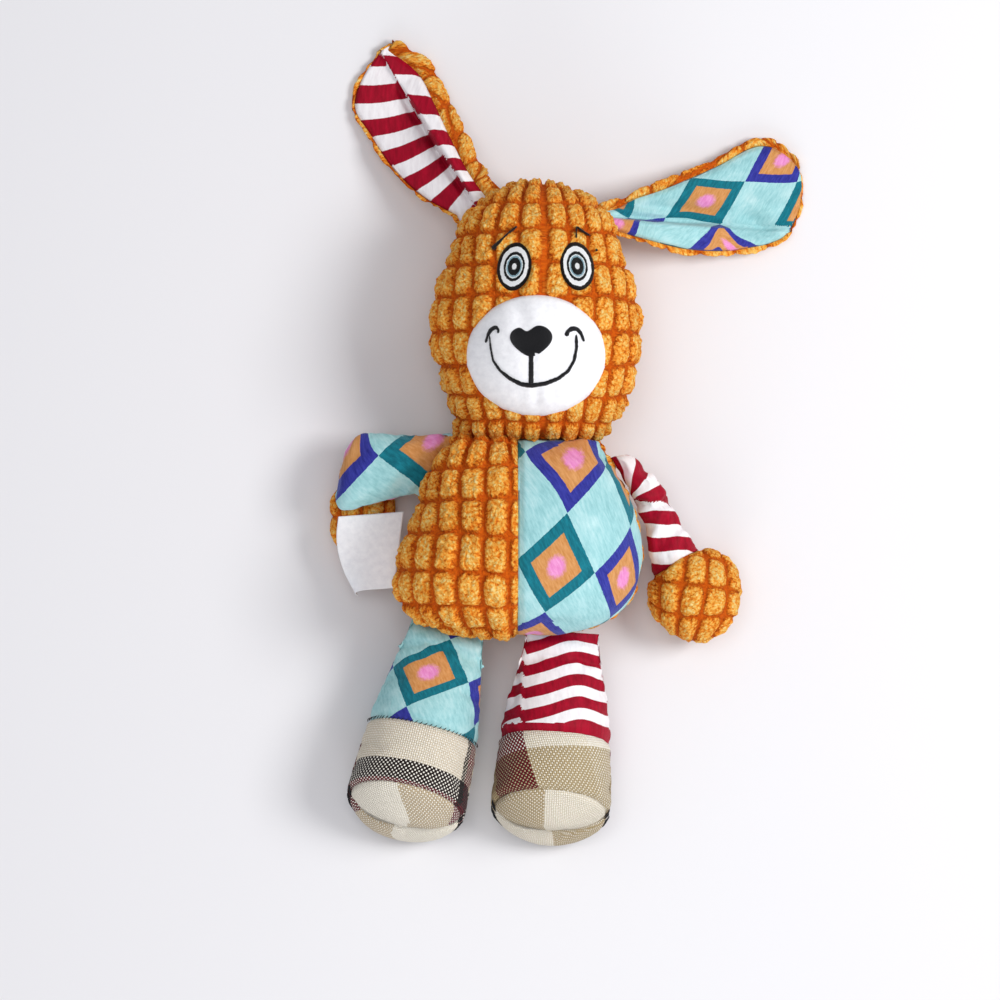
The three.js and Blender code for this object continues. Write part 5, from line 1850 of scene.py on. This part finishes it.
@dataclass
class Label:
    """The bare satin label, which hangs from the right arm's lower seam and curls back at its lower left."""

    wardrobe: Wardrobe
    wide: float = 29.0
    long: float = 35.0
    thick: float = 0.5
    rows: int = 49
    cols: int = 41
    seam: Place = (-67.206, 11.933, 23.12)
    below: Place = (-67.815, 6.971, 23.12)
    turn: float = -7.0
    curl: float = 6.0
    draw: float = 14.0
    lift: float = 2.5

    def build(self) -> None:
        """Makes the label, with its inner edge a little lifted."""
        x = np.linspace(-self.wide / 2, self.wide / 2, self.cols)[None] + np.zeros((self.rows, 1))
        y = np.linspace(-0.3, -self.long, self.rows)[:, None] + np.zeros((1, self.cols))
        share = -y / self.long
        corner = np.clip((share - 0.15) * 1.15, 0, 1) * np.clip((-x / self.wide + 0.12) * 1.6, 0, 1)
        z = y * math.tan(math.radians(2)) + 0.35 * np.sin(x * 0.21 + 0.8) * share - self.curl * corner**2
        z = z + self.lift * np.clip(2 * x / self.wide, 0, 1) ** 2 * share
        y = y + 0.2 * x
        x = x + self.draw * corner**2
        top = np.stack([*spun(x, y, self.turn), z], axis=-1) + np.array(self.seam)
        out = normals(top, False)
        half = out * np.sign(out[self.rows // 2, self.cols // 2, 2]) * self.thick / 2
        made = Sewing.shell("satin_label", top + half, top - half, np.stack([x, y], axis=-1), self.wardrobe.satin)
        hand_over(made, "label", "care_label", bend=Bend("right_arm", "label", self.seam, self.below))


@dataclass
class RightArm(Arm):
    """The short printed arm, its hand that hangs behind the label, and the label."""

    form: Form = field(default_factory=lambda: Form(
        rows=(
            (0, 1, 1, 0.15, 0.15, 0), (0.15, 0.8, 1.3, 0.45, 0.5, 0.25), (0.35, 0.52, 1.75, 0.85, 0.85, 0.6),
            (0.6, 0.2, 2.25, 1, 1, 0.9), (0.8, 0.02, 2.35, 1, 1, 1), (1, -0.1, 1.9, 0.9, 0.9, 1),
        ),
        length=37, direction=-1, left=16.7, right=16.7, front=11, back=11, drop=8,
        end_round=0.4, power=2.2, place=(-39.304, 34.037, SEAM_HEIGHT), turn=239.3, pole=10.0,
    ))
    hand: Form = field(default_factory=lambda: Form(
        rows=((0, 0.9, 0.85, 0.85, 0.9, 0), (0.4, 1, 1, 1, 1, 0), (1, 0.9, 0.9, 1, 1, 0)),
        length=35, direction=-1, left=14.5, right=14.5, front=9.4, back=9.4,
        start_round=0.3, end_round=0.35, power=2.2, place=(-71.3, 27.04, 9.7),
    ))

    def build(self) -> None:
        """Makes the sleeve, the hand, the filling and the label."""
        form, w = self.form, self.wardrobe
        Stuffing(rows=28, cols=44, cap=2.2, inset=1.0).fill(form, -0.1, 1.0)
        root = form.root(3, 5, "torso", self.body)
        self.panel("right_sleeve", form, (-0.1, 1.0), 72, 112, fabric=w.print, node="right_arm_sleeve",
                   lay=Diamonds(-63.5, 38.0, (21, 33), (25, -32), -0.5),
                   creases=(Crease(-52, 26, -44, 34, 1.0, 2.8), Crease(-76, 34, -70, 44, 0.7, 2.6)),
                   pucker=0.18, lumps=0.5, poles=(False, True), bend=root)
        self.panel("right_hand_pile", self.hand, (0.0, 1.0), 56, 96, fabric=w.corduroy, node="right_hand",
                   lay=Blocks(-71, 10, 11.0, 15.0),
                   poles=(True, True), tall=1.8, floor=0.2)
        Filling("right_arm_stuffing", form, (0.05, 0.9), PRINT_SKIN + GAP, self.body, "right_arm_filling",
                root).make(w.fibre)
        Label(w).build()


@dataclass
class Leg:
    """A stuffed leg with its canvas foot and sole."""

    wardrobe: Wardrobe
    side: Side
    place: Place
    turn: float
    length: float
    fabric: Fabric
    lay: Diamonds | Bands
    foot: Threads
    sole: Threads
    creases: tuple[Crease, ...]
    ankle: float = 0.53
    toe: float = 0.895
    steps: int = 136

    def form(self) -> Form:
        """The leg's form."""
        return Form(
            rows=(
                (0, 0.64, 0.64, 0.07, 0.07, 0), (0.12, 0.72, 0.72, 0.2, 0.2, 0.12),
                (0.28, 0.84, 0.84, 0.52, 0.56, 0.45), (0.45, 0.92, 0.92, 0.85, 0.87, 0.85),
                (0.6, 0.96, 0.96, 0.99, 0.99, 1), (0.8, 1, 1, 1, 1, 1), (1, 1, 1, 0.96, 1, 1),
            ),
            length=self.length, direction=-1, left=27, right=27, front=23, back=23, drop=7.2, tilt=0.62,
            end_round=0.17, power=2.2, place=self.place, turn=self.turn,
        )

    def build(self) -> None:
        """Makes the sleeve, the foot, the sole, their stitches and the filling."""
        form, w, name, steps = self.form(), self.wardrobe, self.side.name.lower(), self.steps
        body = f"{name}_leg"
        Stuffing(rows=52, cols=52, cap=2.6, inset=1.2).fill(form, -0.045, 1.0)
        hip = form.root(3, 6, "torso", body)
        rest = dict(spans=round_spans(steps), zero=steps // 2, seams=(steps // 4, 3 * steps // 4), wrap=True,
                    body=body, sink=1.2)
        Panel(f"{body}_fabric", form, (-0.045, self.ankle), 96, fabric=self.fabric, node=f"{body}_sleeve",
              lay=self.lay, ends=(-1,), creases=self.creases, pucker=0.14, lumps=0.5, band=2.4, bend=hip,
              **rest).make()
        Panel(f"{name}_foot_canvas", form, (self.ankle, self.toe), 56, fabric=w.plaids[f"{name}_foot"],
              node=f"{name}_foot_upper", lay=self.foot, ends=(0, -1), pucker=0.1, lumps=0.35, band=2.2,
              **rest).make()
        Panel(f"{name}_sole_canvas", form, (self.toe, 1.0), 40, fabric=w.plaids[f"{name}_sole"],
              node=f"{name}_sole", lay=self.sole, ends=(0,), poles=(False, True), pucker=0.08, lumps=0.3, band=2.2,
              **rest).make()
        if self.side is Side.RIGHT:
            Overlock(f"{name}_ankle_overlock", form, self.ankle, 0.0, HALF, body, reach=0.9, thick=0.19).make(w.black)
        Overlock(f"{name}_edge_overlock", form, self.toe, HALF * 0.94, HALF * 2.06, body).make(w.black)
        Filling(f"{body}_stuffing", form, (0.3, 0.95), CANVAS_SKIN + GAP, body, f"{body}_filling", hip).make(w.fibre)


@dataclass
class Studio:
    """The floor, the soft lights and the camera over the toy."""

    lamps: tuple[tuple[str, Place, float, float], ...] = (
        ("key", (0.9, 0.2, 1.0), 0.5, 11.6), ("fill", (-0.15, 0.2, 1.5), 0.7, 4.8), ("low", (0.0, -1.2, 0.5), 0.8, 6.0))
    target: Place = (0, 0.03, 0.02)
    eye: Place = (-0.009, 0.018, 2.5305)
    lens: float = 200.0

    def build(self) -> None:
        """Sets all of them up."""
        bpy.ops.object.select_all(action="DESELECT")
        bpy.ops.mesh.primitive_plane_add(size=6, location=(0, 0, 0))
        floor = bpy.context.object
        floor.name = "studio_floor"
        g = Graph("pale_floor")
        g.finish(linear("e7e6e8"), 0.9)
        floor.data.materials.append(g.material)
        for name, place, size, power in self.lamps:
            data = bpy.data.lights.new(name, "AREA")
            data.size, data.energy = size, power
            lamp = linked(name, data)
            lamp.location = place
            lamp.rotation_euler = (Vector(self.target) - Vector(place)).to_track_quat("-Z", "Y").to_euler()
        scene = bpy.context.scene
        scene.world = bpy.data.worlds.new("soft_room")
        scene.world.use_nodes = True
        back = scene.world.node_tree.nodes["Background"]
        back.inputs[0].default_value = linear("f7f8ff")
        back.inputs[1].default_value = 0.42
        data = bpy.data.cameras.new("camera")
        data.lens, data.sensor_width = self.lens, 36
        scene.camera = linked("camera", data)
        scene.camera.location = self.eye
        scene.view_settings.view_transform = "Standard"


def ears(w: Wardrobe) -> list[Ear]:
    """The two ears, striped on the toy's right and printed on its left."""
    thin = dict(direction=-1, front=2.4, back=2.4, drop=27.8, power=2.2, squareness=2.6)
    right = Form(
        rows=(
            (0, 0.58, 0.54, 0.7, 0.7, 0), (0.17, 0.48, 1, 0.85, 0.85, 0.3), (0.4, 0.47, 1.33, 1, 1, 0.65),
            (0.62, 0.5, 1.43, 1, 1, 0.88), (0.8, 0.48, 1.5, 1, 1, 0.98), (1, 0.2, 1.2, 0.8, 0.8, 1),
        ),
        length=84, left=21, right=21, end_round=0.3, place=(-19.660, 150.977, SEAM_HEIGHT), turn=206.3,
        folds=(Step(-54.6, 206.3, -19.6, 149.9, 8.0, 15.0, 1.5), Crease(-55.6, 205.2, -21.0, 149.5, 2.6, 1.5)), **thin,
    )
    left = Form(
        rows=(
            (0, 0.3, 0.26, 0.7, 0.7, 0), (0.13, 0.59, 0.32, 0.85, 0.85, 0.25), (0.35, 1, 0.44, 1, 1, 0.6),
            (0.6, 1.21, 0.6, 1, 1, 0.86), (0.8, 1.2, 0.78, 1, 1, 0.98), (1, 1, 0.7, 0.8, 0.8, 1),
        ),
        length=90, left=24.5, right=24.5, end_round=0.2, place=(40.345, 145.226, SEAM_HEIGHT), turn=104.5,
        folds=(Step(97.0, 141.8, 39.0, 144.7, 8.5, 15.0, 4.5, 4.6), Crease(99, 147, 116, 139, 3.4, 4.5),
               Crease(40, 146.0, 93, 143.4, 2.8, 1.7)), **thin,
    )
    fan = Fan(30.9, 213.4, 9.55, 15.2, 205.2, Line(-56.2, 208.9, -19.6, 149.9))
    tuck = Tuck(41.1, 144.6, 90.3, 141.8, 6.5, 12.0, 6.5)
    lay = Diamonds(84.3, 153.5, (25.4, -3.2), (-11.5, -18.8), tuck=tuck)
    return [
        Ear(w, Side.RIGHT, right, (6.5, 1.0), w.stripes, Bands(-50, 190, fan=fan)),
        Ear(w, Side.LEFT, left, (1.0, 3.25), w.print, lay, (Crease(60, 156, 120, 168, 0.5, 3.2),)),
    ]


def legs(w: Wardrobe) -> list[Leg]:
    """The two legs, printed on the toy's right and striped on its left."""
    return [
        Leg(w, Side.RIGHT, (-32.653, -40.484, SEAM_HEIGHT), -13.5, 91, w.print,
            Diamonds(-41.1, -59.2, (29.5, 10.5), (8, -20.5)), Threads(-51, -100, -13), Threads(-51, -113, 12),
            (Crease(-48, -48, -39, -56, 0.9, 3.0), Crease(-24, -50, -29, -60, 0.8, 3.0))),
        Leg(w, Side.LEFT, (18.970, -45.198, SEAM_HEIGHT), -3.9, 86, w.stripes,
            Bands(18, -40, 10.7, 5, 4.0, 12, 5, Ridge(1.5, -84, 3.5, -44, 0.0, -3.0, 5), hem=3.6),
            Threads(16, -103, 2, 0.28), Threads(15, -118, -4),
            (Crease(-1, -50, -4, -78, 1.2, 1.9), Crease(30, -52, 26, -60, 0.6, 3.0)))]


@dataclass
class Squeaker:
    """The squeaker inside the belly, whose solids are finished in place."""

    nodes: dict[str, bpy.types.Object]

    def build(self) -> None:
        """Gives the bulb and the reed their finishes."""
        finishes = (("squeaker_bulb", Plastic("white_vinyl", "e9e4da", 0.5)),
                    ("squeaker_reed", Plastic("reed_plastic", "d8d2c4", 0.4)))
        for name, finish in finishes:
            material = finish.make()
            for slot in self.nodes[name].material_slots:
                slot.material = material
            LOG.info("%s: finished in place", name)


def main() -> None:
    """Builds the toy, the floor, the lights and the camera."""
    logging.basicConfig(level=logging.INFO, format="%(message)s")
    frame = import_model()
    w = Wardrobe()
    parts = [Body(w), Head(w), *ears(w), LeftArm(w, Side.LEFT), RightArm(w, Side.RIGHT), *legs(w)]
    for part in [*parts, Squeaker(frame["nodes"]), Studio()]:
        part.build()


if __name__ == "__main__":
    main()
